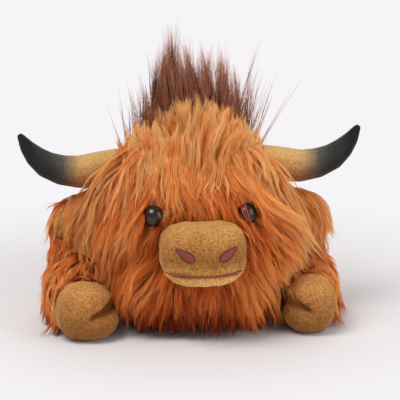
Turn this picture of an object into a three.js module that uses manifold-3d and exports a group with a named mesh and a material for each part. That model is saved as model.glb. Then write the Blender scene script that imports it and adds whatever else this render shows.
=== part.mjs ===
// A plush highland cow lying on its belly with its chin on the floor, facing -Y.
// Millimetres, +Z up. The animal's left side is +X. The long-pile covers are modelled with
// their combed coat, as closed forms that swell and taper; the origin is under the middle
// of the toy, on the surface that it lies on.
import * as THREE from 'three';
import { mergeVertices } from 'three/addons/utils/BufferGeometryUtils.js';
import Module from 'manifold-3d';

const wasm = await Module();
wasm.setup();

// Clearances and wall thicknesses
const seamGap = 0.3;
const turningGap = 0.3;
const coverThickness = 5;
const embroideryThickness = 1.1;
const cutOverrun = 20;

// Head coat
const headWidth = 130;
const headDepth = 112;
const headHeight = 140;
const headCentreY = -15;
const headFullness = 2.3;
const beardClearance = 3.5;
const chinRounding = 7;
const crownRounding = 24;

// Neck, the ball of the body cover that the head is sewn round
const neckRadius = 30;
const neckHeight = 62;
const neckSetback = 4;

// Torso
const torsoWidth = 112;
const torsoLength = 104;
const torsoHeight = 88;
const torsoFlatDepth = 5;
const chestRounding = 22;
const rumpRounding = 20;
const neckInset = 9;
const closingSlitLength = 34;
const closingSlitWidth = 3;
const pouchHeight = 16;
const pouchWidth = 66;
const pouchLength = 58;

// Muzzle
const muzzleWidth = 60;
const muzzleHeight = 43.5;
const muzzleDepth = 56;
const muzzleProud = 32;
const muzzleRounding = 17;
const muzzleAxisHeight = 65.5;
const mouthHalfWidth = 25;
const mouthDrop = 11.2;
const mouthRise = 1;
const mouthThread = 1.8;
const nostrilLength = 17;
const nostrilWidth = 8;
const nostrilSpacing = 30;
const nostrilLift = 4.9;

// Safety eyes
const eyeRadius = 7.5;
const eyeDomeHeight = 6;
const eyeSunk = 1.2;
const eyeSpacing = 67;
const eyeHeight = 84.5;
const shankRadius = 2.2;
const shankLength = 16;
const washerRadius = 8;
const washerThickness = 1.7;

// Horns
const hornRootRadius = 13;
const hornTipRadius = 3;
const hornSpan = 246;
const hornRootHeight = 113;
const hornTipRise = 24.5;
const hornSag = 5;
const hornY = -2;

// Ears
const earLength = 43;
const earWidth = 33;
const earThickness = 9;
const earRootRadius = 9;
const earSeatDepth = 4;
const earHornClearance = 3;
const earLegClearance = 5;
const liningThickness = 1.5;

// Crest of upright locks on the crown
const crestWidth = 84;
const crestDepth = 22;
const crestHeight = 74;
const crestLockWidth = 17;
const crestLockThickness = 9;
const crestSpread = 112;
const crestY = 6;

// Forelegs and front hooves
const forelegRadius = 27.5;
const forelegHeadClearance = 3.5;
const forelegReach = 98;
const shoulderRadius = 25;
const shoulderInset = 10;
const wristRadius = 23;
const wristRounding = 12;
const frontHoofInset = 5;
const frontHoofWidth = 46;
const frontHoofDepth = 42;
const frontHoofHeight = 42;

// Hind legs and hind hooves
const hipRadius = 24;
const hipInset = 14;
const hockRadius = 19;
const hockRounding = 10;
const hindReach = 30;
const hindHoofWidth = 40;
const hindHoofDepth = 36;
const hindHoofHeight = 38;

// Legs and hooves are pressed flat where they lie
const legFlatDepth = 1;

// Tail
const tailRadius = 4.5;
const tailRootRadius = 6;
const tailSeatDepth = 3;
const tailTuftRadius = 8;
const tailTuftLength = 24;
const tailTuftClearance = 5;
const tailRumpClearance = 2;

// Angles in degrees
const nostrilTilt = 38;
const steepestEarDroop = 60;
const earSetAngle = 104;

// Facets
const bodySides = 18;
const limbSides = 12;
const rootSides = 16;
const innerSides = 12;
const smallSides = 10;
const lockSides = 6;
const curvePoints = 8;

const materials = {
  ginger: new THREE.MeshStandardMaterial({ color: 0xc4703a, roughness: 0.9, metalness: 0 }),
  darkPile: new THREE.MeshStandardMaterial({ color: 0x5a3529, roughness: 0.9, metalness: 0 }),
  tan: new THREE.MeshStandardMaterial({ color: 0xb98a4c, roughness: 0.85, metalness: 0 }),
  horn: new THREE.MeshStandardMaterial({ color: 0x9c8763, roughness: 0.85, metalness: 0 }),
  thread: new THREE.MeshStandardMaterial({ color: 0x8a3f28, roughness: 0.6, metalness: 0 }),
  eye: new THREE.MeshStandardMaterial({ color: 0x1c120e, roughness: 0.08, metalness: 0 }),
  washer: new THREE.MeshStandardMaterial({ color: 0xe8e6e0, roughness: 0.5, metalness: 0 }),
  fibre: new THREE.MeshStandardMaterial({ color: 0xf2f1ee, roughness: 1, metalness: 0 }),
  pouch: new THREE.MeshStandardMaterial({ color: 0xd9d4c8, roughness: 0.95, metalness: 0 }),
};

const vector = (x, y, z) => new THREE.Vector3(x, y, z);
const radians = THREE.MathUtils.degToRad;
const { lerp } = THREE.MathUtils;
const [acrossAxis, alongAxis, upAxis] = [vector(1, 0, 0), vector(0, 1, 0), vector(0, 0, 1)];
const frontAxis = alongAxis.clone().negate();
const sideName = (side) => (side > 0 ? 'left' : 'right');

function signedVolume(points, triangles) {
  const [a, b, c] = [vector(0, 0, 0), vector(0, 0, 0), vector(0, 0, 0)];
  let sum = 0;
  for (let i = 0; i < triangles.length; i += 3) {
    a.fromArray(points, triangles[i] * 3);
    b.fromArray(points, triangles[i + 1] * 3);
    c.fromArray(points, triangles[i + 2] * 3);
    sum += a.dot(b.cross(c));
  }
  return sum;
}

// Turns a closed geometry into a solid whose faces point out.
function solid(geometry) {
  const bare = geometry.clone();
  bare.deleteAttribute('normal');
  bare.deleteAttribute('uv');
  const merged = mergeVertices(bare);
  const triVerts = new Uint32Array(merged.index.array);
  const vertProperties = new Float32Array(merged.attributes.position.array);
  if (signedVolume(vertProperties, triVerts) < 0) triVerts.reverse();
  return new wasm.Manifold(new wasm.Mesh({ numProp: 3, vertProperties, triVerts }));
}

// A form that swells and tapers along a spine, with elliptical sections and domed ends.
// Each station has its place, half width and half thickness; the thickness is measured
// toward the facing direction, and angle 0 faces that way. A place u runs from 0 to 1
// along the spine, down to -1 round the first end and up to 2 round the last.
class Form {
  constructor(stations, { facing, steps, around, domes, domeSteps = 3, fullness = 2 }) {
    this.spine = new THREE.CatmullRomCurve3(stations.map((s) => s.at));
    this.girth = new THREE.CatmullRomCurve3(
      stations.map((s) => vector(s.wide, s.thick, 0)),
    );
    Object.assign(this, { facing, steps, around, domes, domeSteps, fullness });
  }

  point(u, angle, grow = 0) {
    const onSpine = THREE.MathUtils.clamp(u, 0, 1);
    const turn = (u - onSpine) * (Math.PI / 2);
    const dome = this.domes[u < 0 ? 0 : 1];
    const along = this.spine.getTangent(onSpine);
    const across = vector(0, 0, 0).crossVectors(along, this.facing).normalize();
    const front = vector(0, 0, 0).crossVectors(across, along);
    const size = this.girth.getPoint(onSpine);
    const [sine, cosine] = [Math.sin(angle), Math.cos(angle)];
    const acrossShare = Math.sign(sine) * Math.abs(sine) ** (2 / this.fullness);
    const frontShare = Math.sign(cosine) * Math.abs(cosine) ** (2 / this.fullness);
    return this.spine
      .getPoint(onSpine)
      .addScaledVector(along, (dome + grow) * Math.sin(turn))
      .addScaledVector(across, (size.x + grow) * Math.cos(turn) * acrossShare)
      .addScaledVector(front, (size.y + grow) * Math.cos(turn) * frontShare);
  }

  normal(u, angle) {
    const small = 1e-3;
    const along = this.point(u + small, angle).sub(this.point(u - small, angle));
    const round = this.point(u, angle + small).sub(this.point(u, angle - small));
    return round.cross(along).normalize();
  }

  // The place where the spine passes a value of x, y or z, found by halving.
  placeWhere(axis, value) {
    const rising = this.spine.getPoint(1)[axis] > this.spine.getPoint(0)[axis];
    let [low, high] = [0, 1];
    while (high - low > 1e-6) {
      const middle = (low + high) / 2;
      if ((this.spine.getPoint(middle)[axis] < value) === rising) low = middle;
      else high = middle;
    }
    return low;
  }

  geometry(grow = 0, around = this.around) {
    const { steps, domeSteps } = this;
    const places = [];
    for (let i = 1; i < domeSteps; i += 1) places.push(i / domeSteps - 1);
    for (let i = 0; i <= steps; i += 1) places.push(i / steps);
    for (let i = 1; i < domeSteps; i += 1) places.push(1 + i / domeSteps);
    const positions = places.flatMap((u) => Array.from({ length: around }, (_, j) => (
      this.point(u, (2 * Math.PI * j) / around, grow).toArray()
    ))).flat();
    const last = (places.length - 1) * around;
    const start = last + around;
    positions.push(...this.point(-1, 0, grow), ...this.point(2, 0, grow));
    const index = [];
    for (let j = 0; j < around; j += 1) {
      const next = (j + 1) % around;
      for (let low = 0; low < last; low += around) {
        const high = low + around;
        index.push(low + j, low + next, high + next, low + j, high + next, high + j);
      }
      index.push(start, next, j, start + 1, last + j, last + next);
    }
    const built = new THREE.BufferGeometry();
    built.setAttribute('position', new THREE.Float32BufferAttribute(positions, 3));
    built.setIndex(index);
    return built;
  }

  solid(grow = 0, around = this.around) {
    return solid(this.geometry(grow, around));
  }
}

const bandShare = 0.4;

// A ball whose poles lie on the axis that it turns about, so that its facets keep clear.
function ball(centre, radius, axis, facets = rootSides) {
  const sphere = new THREE.SphereGeometry(radius, facets, Math.round(facets * bandShare));
  const poles = new THREE.Quaternion().setFromUnitVectors(alongAxis, axis);
  return solid(sphere.applyQuaternion(poles).translate(...centre));
}

// A hollow for a ball to turn in: its facets stay outside the ball by the gap.
function socket(centre, radius, axis, grow = 0, facets = rootSides) {
  const chordShare = Math.cos(Math.PI / facets);
  return ball(centre, (radius + turningGap) / chordShare + grow, axis, facets);
}

function ellipsoid(centre, radii, tilt = 0, grow = 0) {
  const grown = radii.map((radius) => radius + grow);
  const sphere = new THREE.SphereGeometry(1, limbSides, limbSides / 2);
  return solid(sphere.rotateX(Math.PI / 2).scale(...grown).rotateY(tilt).translate(...centre));
}

// Everything lower than the given height, wide enough for the whole toy.
function under(height) {
  const reach = hornSpan + torsoLength + headDepth;
  const slab = new THREE.BoxGeometry(reach, 2 * reach, reach);
  return solid(slab.translate(0, 0, height - reach / 2));
}

// An outline in the XZ plane, seen from the front, pushed through from y0 back to y1.
function frontPrism(outline, y0, y1) {
  const shape = new THREE.Shape(outline.map(([x, z]) => new THREE.Vector2(x, z)));
  const pushed = new THREE.ExtrudeGeometry(shape, { depth: y1 - y0, bevelEnabled: false });
  return solid(pushed.rotateX(Math.PI / 2).translate(0, y1, 0));
}

const joined = (solids) => solids.reduce((sum, next) => sum.add(next));

function mesh(name, built, material) {
  const { numProp, vertProperties, triVerts } = built.getMesh();
  const geometry = new THREE.BufferGeometry();
  geometry.setAttribute('position', new THREE.Float32BufferAttribute(vertProperties, numProp));
  geometry.setIndex(new THREE.Uint32BufferAttribute(triVerts, 1));
  geometry.computeVertexNormals();
  const made = new THREE.Mesh(geometry, material);
  made.name = name;
  return made;
}

// A moving body: its meshes hang from a group whose origin is the body's pivot.
function bodyGroup(pivot, meshes) {
  const group = new THREE.Group();
  group.position.copy(pivot);
  for (const piece of meshes) piece.position.copy(pivot).negate();
  group.add(...meshes);
  return group;
}

// Head: sections at shares of its height, with their width and depth as shares of the
// widest, and how far they sit ahead of it as a share of its half depth.
const headShares = [
  { height: 0.05, width: 0.74, depth: 0.68, ahead: 0.32 },
  { height: 0.2, width: 0.8, depth: 0.78, ahead: 0.24 },
  { height: 0.35, width: 0.93, depth: 0.9, ahead: 0.12 },
  { height: 0.51, width: 1, depth: 1, ahead: 0 },
  { height: 0.68, width: 0.95, depth: 0.96, ahead: -0.05 },
  { height: 0.83, width: 0.82, depth: 0.82, ahead: -0.1 },
];
const head = new Form(
  headShares.map((s) => ({
    at: vector(0, headCentreY - (s.ahead * headDepth) / 2, beardClearance + s.height * headHeight),
    wide: (s.width * headWidth) / 2,
    thick: (s.depth * headDepth) / 2,
  })),
  {
    facing: frontAxis,
    steps: 8,
    around: bodySides,
    domes: [chinRounding, crownRounding],
    fullness: headFullness,
  },
);
const headPlace = (height) => head.placeWhere('z', height);
const headHalfWidthAt = (height) => head.girth.getPoint(headPlace(height)).x;
const headFrontAt = (height) => head.point(headPlace(height), 0).y;

const neck = vector(0, headCentreY + headDepth / 2 + neckSetback, neckHeight);

// Torso: sections at shares of its length, as shares of its width and height.
const torsoShares = [
  { along: 0.21, width: 0.82, height: 0.84 },
  { along: 0.36, width: 0.95, height: 0.95 },
  { along: 0.52, width: 1, height: 1 },
  { along: 0.66, width: 0.98, height: 0.96 },
  { along: 0.81, width: 0.86, height: 0.82 },
];
const torsoFrontY = neck.y - neckInset;
const torsoY = (alongShare) => torsoFrontY + alongShare * torsoLength;
const torso = new Form(
  torsoShares.map((s) => {
    const half = (s.height * (torsoHeight + torsoFlatDepth)) / 2;
    const at = vector(0, torsoY(s.along), half - torsoFlatDepth);
    return { at, wide: (s.width * torsoWidth) / 2, thick: half };
  }),
  { facing: upAxis, steps: 6, around: bodySides, domes: [chestRounding, rumpRounding] },
);
const torsoHalfWidthAt = (y) => torso.girth.getPoint(torso.placeWhere('y', y)).x;

// Where a limb joins the torso: level, with its root ball pressed flat by the floor.
function limbPivot(side, alongShare, beyondSide, rootRadius) {
  const y = torsoY(alongShare);
  return vector(side * (torsoHalfWidthAt(y) + beyondSide), y, rootRadius - legFlatDepth);
}

// A limb from inside its root ball to its hoof, lying on the floor all the way.
const rootWaistShare = 0.88;
function limb(pivot, end, outShares, alongShares, radii, rounding) {
  const stations = radii.map((radius, i) => {
    const girth = i === 0 ? radius * rootWaistShare : radius;
    return {
      at: vector(
        lerp(pivot.x, end.x, outShares[i]),
        lerp(pivot.y, end.y, alongShares[i]),
        radius - legFlatDepth,
      ),
      wide: girth,
      thick: girth,
    };
  });
  return new Form(stations, {
    facing: upAxis,
    steps: 2 * (radii.length - 1),
    around: limbSides,
    domes: [legFlatDepth, rounding],
    domeSteps: 2,
  });
}

// Forelegs: from the shoulder ball forward past the cheeks to the wrist.
const shoulderAlongShare = 0.25;
const cheekHeightShare = 0.6;
const forelegOutShares = [0, 0.6, 0.94, 1];
const forelegAlongShares = [0, 0.36, 0.7, 1];
const legTop = 2 * forelegRadius - legFlatDepth;
const forelegX = headHalfWidthAt(legTop * cheekHeightShare) + forelegHeadClearance + forelegRadius;
const shoulder = (side) => limbPivot(side, shoulderAlongShare, shoulderInset, shoulderRadius);
const foreleg = (side) => limb(
  shoulder(side),
  vector(side * forelegX, shoulder(side).y - forelegReach, 0),
  forelegOutShares,
  forelegAlongShares,
  [shoulderRadius, forelegRadius, forelegRadius, wristRadius],
  wristRounding,
);

// Hind legs: drawn up beside the rump, with the hooves behind.
const hipAlongShare = 0.7;
const hindSpreadShare = 0.4;
const hindShares = [0, 0.5, 1];
const hip = (side) => limbPivot(side, hipAlongShare, -hipInset, hipRadius);
const hock = (side) => hip(side).add(vector(side * hindSpreadShare * hindReach, hindReach, 0));
const hindLeg = (side) => limb(
  hip(side),
  hock(side),
  hindShares,
  hindShares,
  [hipRadius, (hipRadius + hockRadius) / 2, hockRadius],
  hockRounding,
);

// A cloven hoof lying on its side: a heel with an upper and a lower toe that point inward.
// Places and sizes are shares of the hoof's half sizes, tilts are degrees.
const toeShares = [
  { out: 0.3, up: 0, width: 0.7, depth: 1, height: 0.98, tilt: 0 },
  { out: 0.02, up: 0.34, width: 0.84, depth: 0.92, height: 0.64, tilt: -10 },
  { out: -0.1, up: -0.37, width: 0.9, depth: 0.95, height: 0.62, tilt: 4 },
];

function hoof(side, centre, size, grow = 0) {
  const lobes = toeShares.map((s) => ellipsoid(
    centre.clone().add(vector((side * s.out * size.x) / 2, 0, (s.up * size.z) / 2)),
    [(s.width * size.x) / 2, (s.depth * size.y) / 2, (s.height * size.z) / 2],
    side * radians(s.tilt),
    grow,
  ));
  return joined(lobes).subtract(under(0));
}

const frontHoofSeatShare = 0.36;
const frontHoof = (side, grow) => hoof(
  side,
  vector(
    side * (forelegX - frontHoofInset),
    shoulder(side).y - forelegReach - frontHoofSeatShare * frontHoofDepth,
    frontHoofHeight / 2 - legFlatDepth,
  ),
  vector(frontHoofWidth, frontHoofDepth, frontHoofHeight),
  grow,
);

const hindHoofSeatShare = 0.3;
const hindHoof = (side, grow) => hoof(
  side,
  vector(
    hock(side).x,
    hock(side).y + hindHoofSeatShare * hindHoofDepth,
    hindHoofHeight / 2 - legFlatDepth,
  ),
  vector(hindHoofWidth, hindHoofDepth, hindHoofHeight),
  grow,
);

// Past its root ball a leg lies against the torso, so it is shaped by it there.
function legBody(side, kind, pivot, rootRadius, leg, shoe) {
  const name = sideName(side);
  const fur = leg.solid().subtract(torso.solid(turningGap))
    .add(ball(pivot, rootRadius, upAxis))
    .subtract(under(0))
    .subtract(shoe(side, seamGap));
  return bodyGroup(pivot, [
    mesh(`${kind}_leg_${name}`, fur, materials.ginger),
    mesh(`${kind}_hoof_${name}`, shoe(side), materials.tan),
  ]);
}

// Tail: a cord of cover fabric from a ball in the rump, down behind it to a long tuft.
const tailRoundRumpShare = 0.45;
const tailBendShare = 0.35;
const tuftBellyShare = 0.45;
const tailPlace = 1 + tailRoundRumpShare;
const tailPivot = torso.point(tailPlace, 0)
  .addScaledVector(torso.normal(tailPlace, 0), tailRootRadius - tailSeatDepth);
const tailEndHeight = tailTuftClearance + tailTuftLength;
const tailY = torsoY(1) + tailRumpClearance + tailTuftRadius;

function tailBody() {
  const at = (height, radius) => ({ at: vector(0, tailY, height), wide: radius, thick: radius });
  const cord = new Form(
    [
      { at: tailPivot, wide: tailRadius, thick: tailRadius },
      at(lerp(tailPivot.z, tailEndHeight, tailBendShare), tailRadius),
      at(tailEndHeight, tailRadius),
    ],
    { facing: acrossAxis, steps: 5, around: smallSides, domes: [tailRadius, tailRadius], domeSteps: 2 },
  );
  const tuft = new Form(
    [
      at(tailEndHeight, tailRadius),
      at(tailEndHeight - tuftBellyShare * tailTuftLength, tailTuftRadius),
      at(tailTuftClearance + tailRadius, tailRadius),
    ],
    { facing: acrossAxis, steps: 4, around: smallSides, domes: [tailRadius / 2, tailRadius], domeSteps: 2 },
  );
  const root = ball(tailPivot, tailRootRadius, acrossAxis, smallSides);
  return bodyGroup(tailPivot, [
    mesh('tail', cord.solid().add(root), materials.ginger),
    mesh('tail_tuft', tuft.solid().subtract(cord.solid(seamGap)), materials.darkPile),
  ]);
}

// The sockets that the limbs and the tail turn in, as much wider as a wall there.
function limbRoom(wall) {
  const facets = wall > 0 ? innerSides : rootSides;
  const room = [socket(tailPivot, tailRootRadius, acrossAxis, wall, smallSides)];
  for (const side of [1, -1]) {
    room.push(socket(shoulder(side), shoulderRadius, upAxis, wall, facets));
    room.push(socket(hip(side), hipRadius, upAxis, wall, facets));
  }
  return joined(room);
}

// The torso with its neck ball, as the surface that lies at a depth inside the cover.
function torsoSolid(depth) {
  const facets = depth > 0 ? innerSides : bodySides;
  return torso.solid(-depth, facets)
    .add(ball(neck, neckRadius - depth, acrossAxis, facets))
    .subtract(under(depth))
    .subtract(limbRoom(depth));
}

// Torso cover, the fibre inside it and the pouch of pellets that weighs the belly down.
// The hand-sewn closing slit is under the belly, behind the pouch's middle.
function torsoPieces() {
  const inner = coverThickness + seamGap;
  const bellyY = torsoY(1 / 2);
  const slit = new THREE.BoxGeometry(
    closingSlitWidth,
    closingSlitLength,
    2 * coverThickness + seamGap,
  ).translate(0, bellyY + closingSlitLength / 2, 0);
  const pouch = (grow) => ellipsoid(
    vector(0, bellyY, inner),
    [pouchWidth / 2, pouchLength / 2, pouchHeight],
    0,
    grow,
  );
  const cover = torsoSolid(0).subtract(torsoSolid(coverThickness)).subtract(solid(slit));
  const inside = torsoSolid(inner);
  return [
    mesh('body_cover', cover, materials.ginger),
    mesh('body_stuffing', inside.subtract(pouch(seamGap)), materials.fibre),
    mesh('pellet_pouch', inside.intersect(pouch(0)), materials.pouch),
  ];
}

// Muzzle: a stuffed dome sewn on the face, parted by the mouth seam into muzzle and lip.
const muzzleShares = [
  { along: 0, width: 0.9, height: 0.9 },
  { along: 0.4, width: 1, height: 0.99 },
  { along: 1, width: 0.98, height: 1 },
];
const muzzleFrontY = headFrontAt(muzzleAxisHeight) - muzzleProud;
const muzzle = new Form(
  muzzleShares.map((s) => ({
    at: vector(
      0,
      muzzleFrontY + muzzleRounding + (1 - s.along) * (muzzleDepth - muzzleRounding),
      muzzleAxisHeight,
    ),
    wide: (s.width * muzzleWidth) / 2,
    thick: (s.height * muzzleHeight) / 2,
  })),
  {
    facing: upAxis,
    steps: 3,
    around: bodySides,
    domes: [seamGap, muzzleRounding],
    fullness: 2.3,
  },
);

// The mouth seam's height at a place across the muzzle: lowest in the middle.
function mouthHeight(x) {
  const share = x / mouthHalfWidth;
  return muzzleAxisHeight - mouthDrop + mouthRise * share * share;
}

// A strip that follows the mouth seam, from one height beside it to another.
function mouthStrip(halfWidth, below, above) {
  const places = Array.from({ length: curvePoints + 1 }, (_, i) => (
    halfWidth * ((2 * i) / curvePoints - 1)
  ));
  const lower = places.map((x) => [x, mouthHeight(x) + below]);
  const upper = places.map((x) => [x, mouthHeight(x) + above]).reverse();
  return frontPrism([...lower, ...upper], muzzleFrontY - cutOverrun, muzzleFrontY + muzzleDepth);
}

// A leaf with pointed ends, tilted so that its outer end is the higher.
function nostril(side) {
  const tilt = radians(nostrilTilt);
  const edge = (bulge) => Array.from({ length: curvePoints }, (_, i) => {
    const share = i / curvePoints;
    const along = (share - 1 / 2) * nostrilLength * bulge;
    const out = (bulge * nostrilWidth * Math.sin(Math.PI * share)) / 2;
    const x = along * Math.cos(tilt) - out * Math.sin(tilt);
    const z = along * Math.sin(tilt) + out * Math.cos(tilt);
    return [side * (nostrilSpacing / 2 + x), muzzleAxisHeight + nostrilLift + z];
  });
  const front = muzzleFrontY - cutOverrun;
  return frontPrism([...edge(1), ...edge(-1)], front, headFrontAt(muzzleAxisHeight))
    .intersect(muzzle.solid(seamGap + embroideryThickness))
    .subtract(muzzle.solid(seamGap));
}

function muzzlePieces() {
  const half = mouthThread / 2;
  const thread = mouthStrip(mouthHalfWidth, -half, half)
    .intersect(muzzle.solid(half))
    .subtract(muzzle.solid(-half))
    .subtract(head.solid(muzzleProud / 4));
  const groove = mouthStrip(mouthHalfWidth + seamGap, -half - seamGap, half + seamGap)
    .subtract(muzzle.solid(-half - seamGap));
  const lipSide = mouthStrip(muzzleWidth, -muzzleHeight, -seamGap / 2);
  const muzzleSide = mouthStrip(muzzleWidth, seamGap / 2, 2 * muzzleHeight);
  const whole = muzzle.solid().subtract(head.solid(seamGap)).subtract(groove);
  return [
    mesh('muzzle', whole.intersect(muzzleSide), materials.tan),
    mesh('lower_lip', whole.intersect(lipSide), materials.tan),
    mesh('mouth_stitching', thread, materials.thread),
    mesh('nostril_left', nostril(1), materials.thread),
    mesh('nostril_right', nostril(-1), materials.thread),
  ];
}

// A profile of radii and heights, turned round an axis that stands on the head's surface
// at an eye.
function atEye(side, profile) {
  const place = headPlace(eyeHeight);
  const share = eyeSpacing / 2 / head.girth.getPoint(place).x;
  const angle = side * Math.asin(share ** (headFullness / 2));
  const outline = profile.map(([radius, height]) => new THREE.Vector2(radius, height));
  const stand = new THREE.Quaternion().setFromUnitVectors(alongAxis, head.normal(place, angle));
  const turned = new THREE.LatheGeometry(outline, smallSides);
  return solid(turned.applyQuaternion(stand).translate(...head.point(place, angle)));
}

function eye(side, grow = 0) {
  const domeSteps = 4;
  const dome = Array.from({ length: domeSteps }, (_, i) => {
    const angle = (Math.PI / 2) * (i / domeSteps);
    const height = (eyeDomeHeight + grow) * Math.sin(angle) - eyeSunk;
    return [(eyeRadius + grow) * Math.cos(angle), height];
  });
  return atEye(side, [
    [0, -shankLength - grow],
    [shankRadius + grow, -shankLength - grow],
    [shankRadius + grow, -eyeSunk - grow],
    [eyeRadius + grow, -eyeSunk - grow],
    ...dome,
    [0, eyeDomeHeight + grow - eyeSunk],
  ]);
}

function eyeWasher(side, grow = 0) {
  const near = grow - coverThickness - seamGap;
  const far = near - washerThickness - 2 * grow;
  const hole = shankRadius + seamGap - grow;
  return atEye(side, [
    [hole, near],
    [hole, far],
    [washerRadius + grow, far],
    [washerRadius + grow, near],
    [hole, near],
  ]);
}

// Horn: out sideways from the crown with a slight sag, then up to a blunt tip. Rises are
// shares of the tip's rise, dips of the sag, and radii run from the tip's to the root's.
const hornShares = [
  { out: 0.3, rise: 0, dip: 0, radius: 1 },
  { out: 0.5, rise: 0, dip: 0.5, radius: 0.98 },
  { out: 0.68, rise: 0, dip: 1, radius: 0.88 },
  { out: 0.84, rise: 0.1, dip: 0.4, radius: 0.7 },
  { out: 0.94, rise: 0.48, dip: 0, radius: 0.4 },
  { out: 1, rise: 1, dip: 0, radius: 0 },
];

function horn(side) {
  return new Form(
    hornShares.map((s) => {
      const x = s.out * (hornSpan / 2 - hornTipRadius);
      const z = hornRootHeight + s.rise * (hornTipRise - hornTipRadius) - s.dip * hornSag;
      const radius = lerp(hornTipRadius, hornRootRadius, s.radius);
      return { at: vector(side * x, hornY, z), wide: radius, thick: radius };
    }),
    {
      facing: frontAxis,
      steps: 8,
      around: limbSides,
      domes: [hornTipRadius, hornTipRadius],
      domeSteps: 2,
    },
  );
}

// Crest: a fan of upright locks on a low pad that is sewn along the crown. Each lock's
// place across is a share of the half width, its length a share of the crest's height.
const crestShares = [
  { across: -1, length: 0.56 },
  { across: -0.74, length: 0.62 },
  { across: -0.5, length: 0.88 },
  { across: -0.26, length: 1 },
  { across: 0, length: 0.92 },
  { across: 0.24, length: 0.98 },
  { across: 0.5, length: 0.9 },
  { across: 0.76, length: 0.64 },
  { across: 1, length: 0.56 },
];
const footSpreadShare = 0.8;
const lockWaistShare = 0.55;
const lockLeanShare = 0.3;
const lockTipShare = 0.14;

function crest() {
  const base = beardClearance + headHeight - crestLockThickness;
  const pad = ellipsoid(
    vector(0, crestY, base),
    [crestWidth / 2, crestDepth / 2, crestLockThickness],
  );
  const locks = crestShares.map((share, i) => {
    const lean = (i % 2 === 0 ? 1 : -1) * lockLeanShare * crestDepth;
    const foot = vector((share.across * footSpreadShare * crestWidth) / 2, crestY + lean, base);
    const tip = vector(
      (share.across * crestSpread) / 2,
      crestY - lean,
      base + share.length * crestHeight,
    );
    const waist = foot.clone().lerp(tip, lockWaistShare).setX((foot.x + tip.x) / 2 - foot.x / 8);
    const sizes = [1, (1 + lockTipShare) / 2, lockTipShare];
    return new Form(
      [foot, waist, tip].map((at, k) => ({
        at,
        wide: (sizes[k] * crestLockWidth) / 2,
        thick: (sizes[k] * crestLockThickness) / 2,
      })),
      {
        facing: frontAxis,
        steps: 2,
        around: lockSides,
        domes: [crestLockThickness / 2, crestLockThickness / 2],
        domeSteps: 1,
      },
    ).solid();
  });
  return joined([pad, ...locks]).subtract(head.solid(seamGap));
}

// Ears: leaves that hang from a gathered root under each horn, lined on their front.
const earShares = [
  { along: 0, width: 0.5, thickness: 1 },
  { along: 0.3, width: 0.88, thickness: 1 },
  { along: 0.55, width: 1, thickness: 1 },
  { along: 0.8, width: 0.66, thickness: 0.8 },
];
const earTipShare = 0.2;
const liningWidthShare = 0.74;

function earPivot(side) {
  const height = hornRootHeight - hornRootRadius - earHornClearance - earRootRadius;
  const place = headPlace(height);
  const angle = side * radians(earSetAngle);
  return head.point(place, angle)
    .addScaledVector(head.normal(place, angle), earRootRadius - earSeatDepth);
}

// The angle at which an ear hangs until its tip is just above the foreleg.
function earDroop() {
  const drop = earPivot(1).z - legTop - earLegClearance;
  return Math.asin(Math.min(Math.sin(radians(steepestEarDroop)), drop / earLength));
}

function earLeaf(side, widthShare, ahead, thickness) {
  const pivot = earPivot(side);
  const droop = earDroop();
  const along = vector(side * Math.cos(droop), 0, -Math.sin(droop));
  return new Form(
    earShares.map((s) => ({
      at: pivot.clone()
        .addScaledVector(along, s.along * earLength)
        .addScaledVector(frontAxis, s.thickness * ahead),
      wide: (s.width * widthShare * earWidth) / 2,
      thick: (s.thickness * thickness) / 2,
    })),
    {
      facing: frontAxis,
      steps: 5,
      around: smallSides,
      domes: [thickness / 2, earTipShare * widthShare * earLength],
      domeSteps: 2,
    },
  );
}

// The lining is let into the front of the ear, with the fur standing round it as a rim.
function earBody(side) {
  const name = sideName(side);
  const pivot = earPivot(side);
  const lining = earLeaf(side, liningWidthShare, earThickness / 2, 2 * liningThickness);
  const ear = earLeaf(side, 1, 0, earThickness).solid()
    .add(ball(pivot, earRootRadius, alongAxis, smallSides))
    .subtract(lining.solid(seamGap));
  return bodyGroup(pivot, [
    mesh(`ear_${name}`, ear, materials.ginger),
    mesh(`ear_lining_${name}`, lining.solid(), materials.tan),
  ]);
}

// Head cover with its socket for the neck, the fibre in it and all that is sewn to it.
function headBody() {
  const neckSocket = socket(neck, neckRadius, acrossAxis, 0, bodySides);
  let cover = head.solid().subtract(head.solid(-coverThickness, innerSides))
    .subtract(neckSocket);
  let stuffing = head.solid(-coverThickness - seamGap, innerSides).subtract(neckSocket);
  const pieces = [];
  for (const side of [1, -1]) {
    const name = sideName(side);
    const eyeRoom = eye(side, seamGap).add(eyeWasher(side, seamGap));
    cover = cover.subtract(eyeRoom)
      .subtract(socket(earPivot(side), earRootRadius, alongAxis, 0, smallSides));
    stuffing = stuffing.subtract(eyeRoom);
    pieces.push(
      mesh(`eye_${name}`, eye(side), materials.eye),
      mesh(`eye_washer_${name}`, eyeWasher(side), materials.washer),
      mesh(`horn_${name}`, horn(side).solid().subtract(head.solid(seamGap)), materials.horn),
    );
  }
  return bodyGroup(neck, [
    mesh('head_cover', cover, materials.ginger),
    mesh('head_stuffing', stuffing, materials.fibre),
    mesh('crest', crest(), materials.darkPile),
    ...muzzlePieces(),
    ...pieces,
  ]);
}

// The toy, moved so that its origin is under the middle of its outer box.
const toy = new THREE.Group();
toy.add(...torsoPieces(), headBody(), tailBody());
for (const side of [1, -1]) {
  toy.add(
    earBody(side),
    legBody(side, 'front', shoulder(side), shoulderRadius, foreleg(side), frontHoof),
    legBody(side, 'hind', hip(side), hipRadius, hindLeg(side), hindHoof),
  );
}
const outer = new THREE.Box3().setFromObject(toy, true);
const middle = outer.getCenter(vector(0, 0, 0));
toy.position.set(-middle.x, -middle.y, -outer.min.z);

export default toy;
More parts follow.
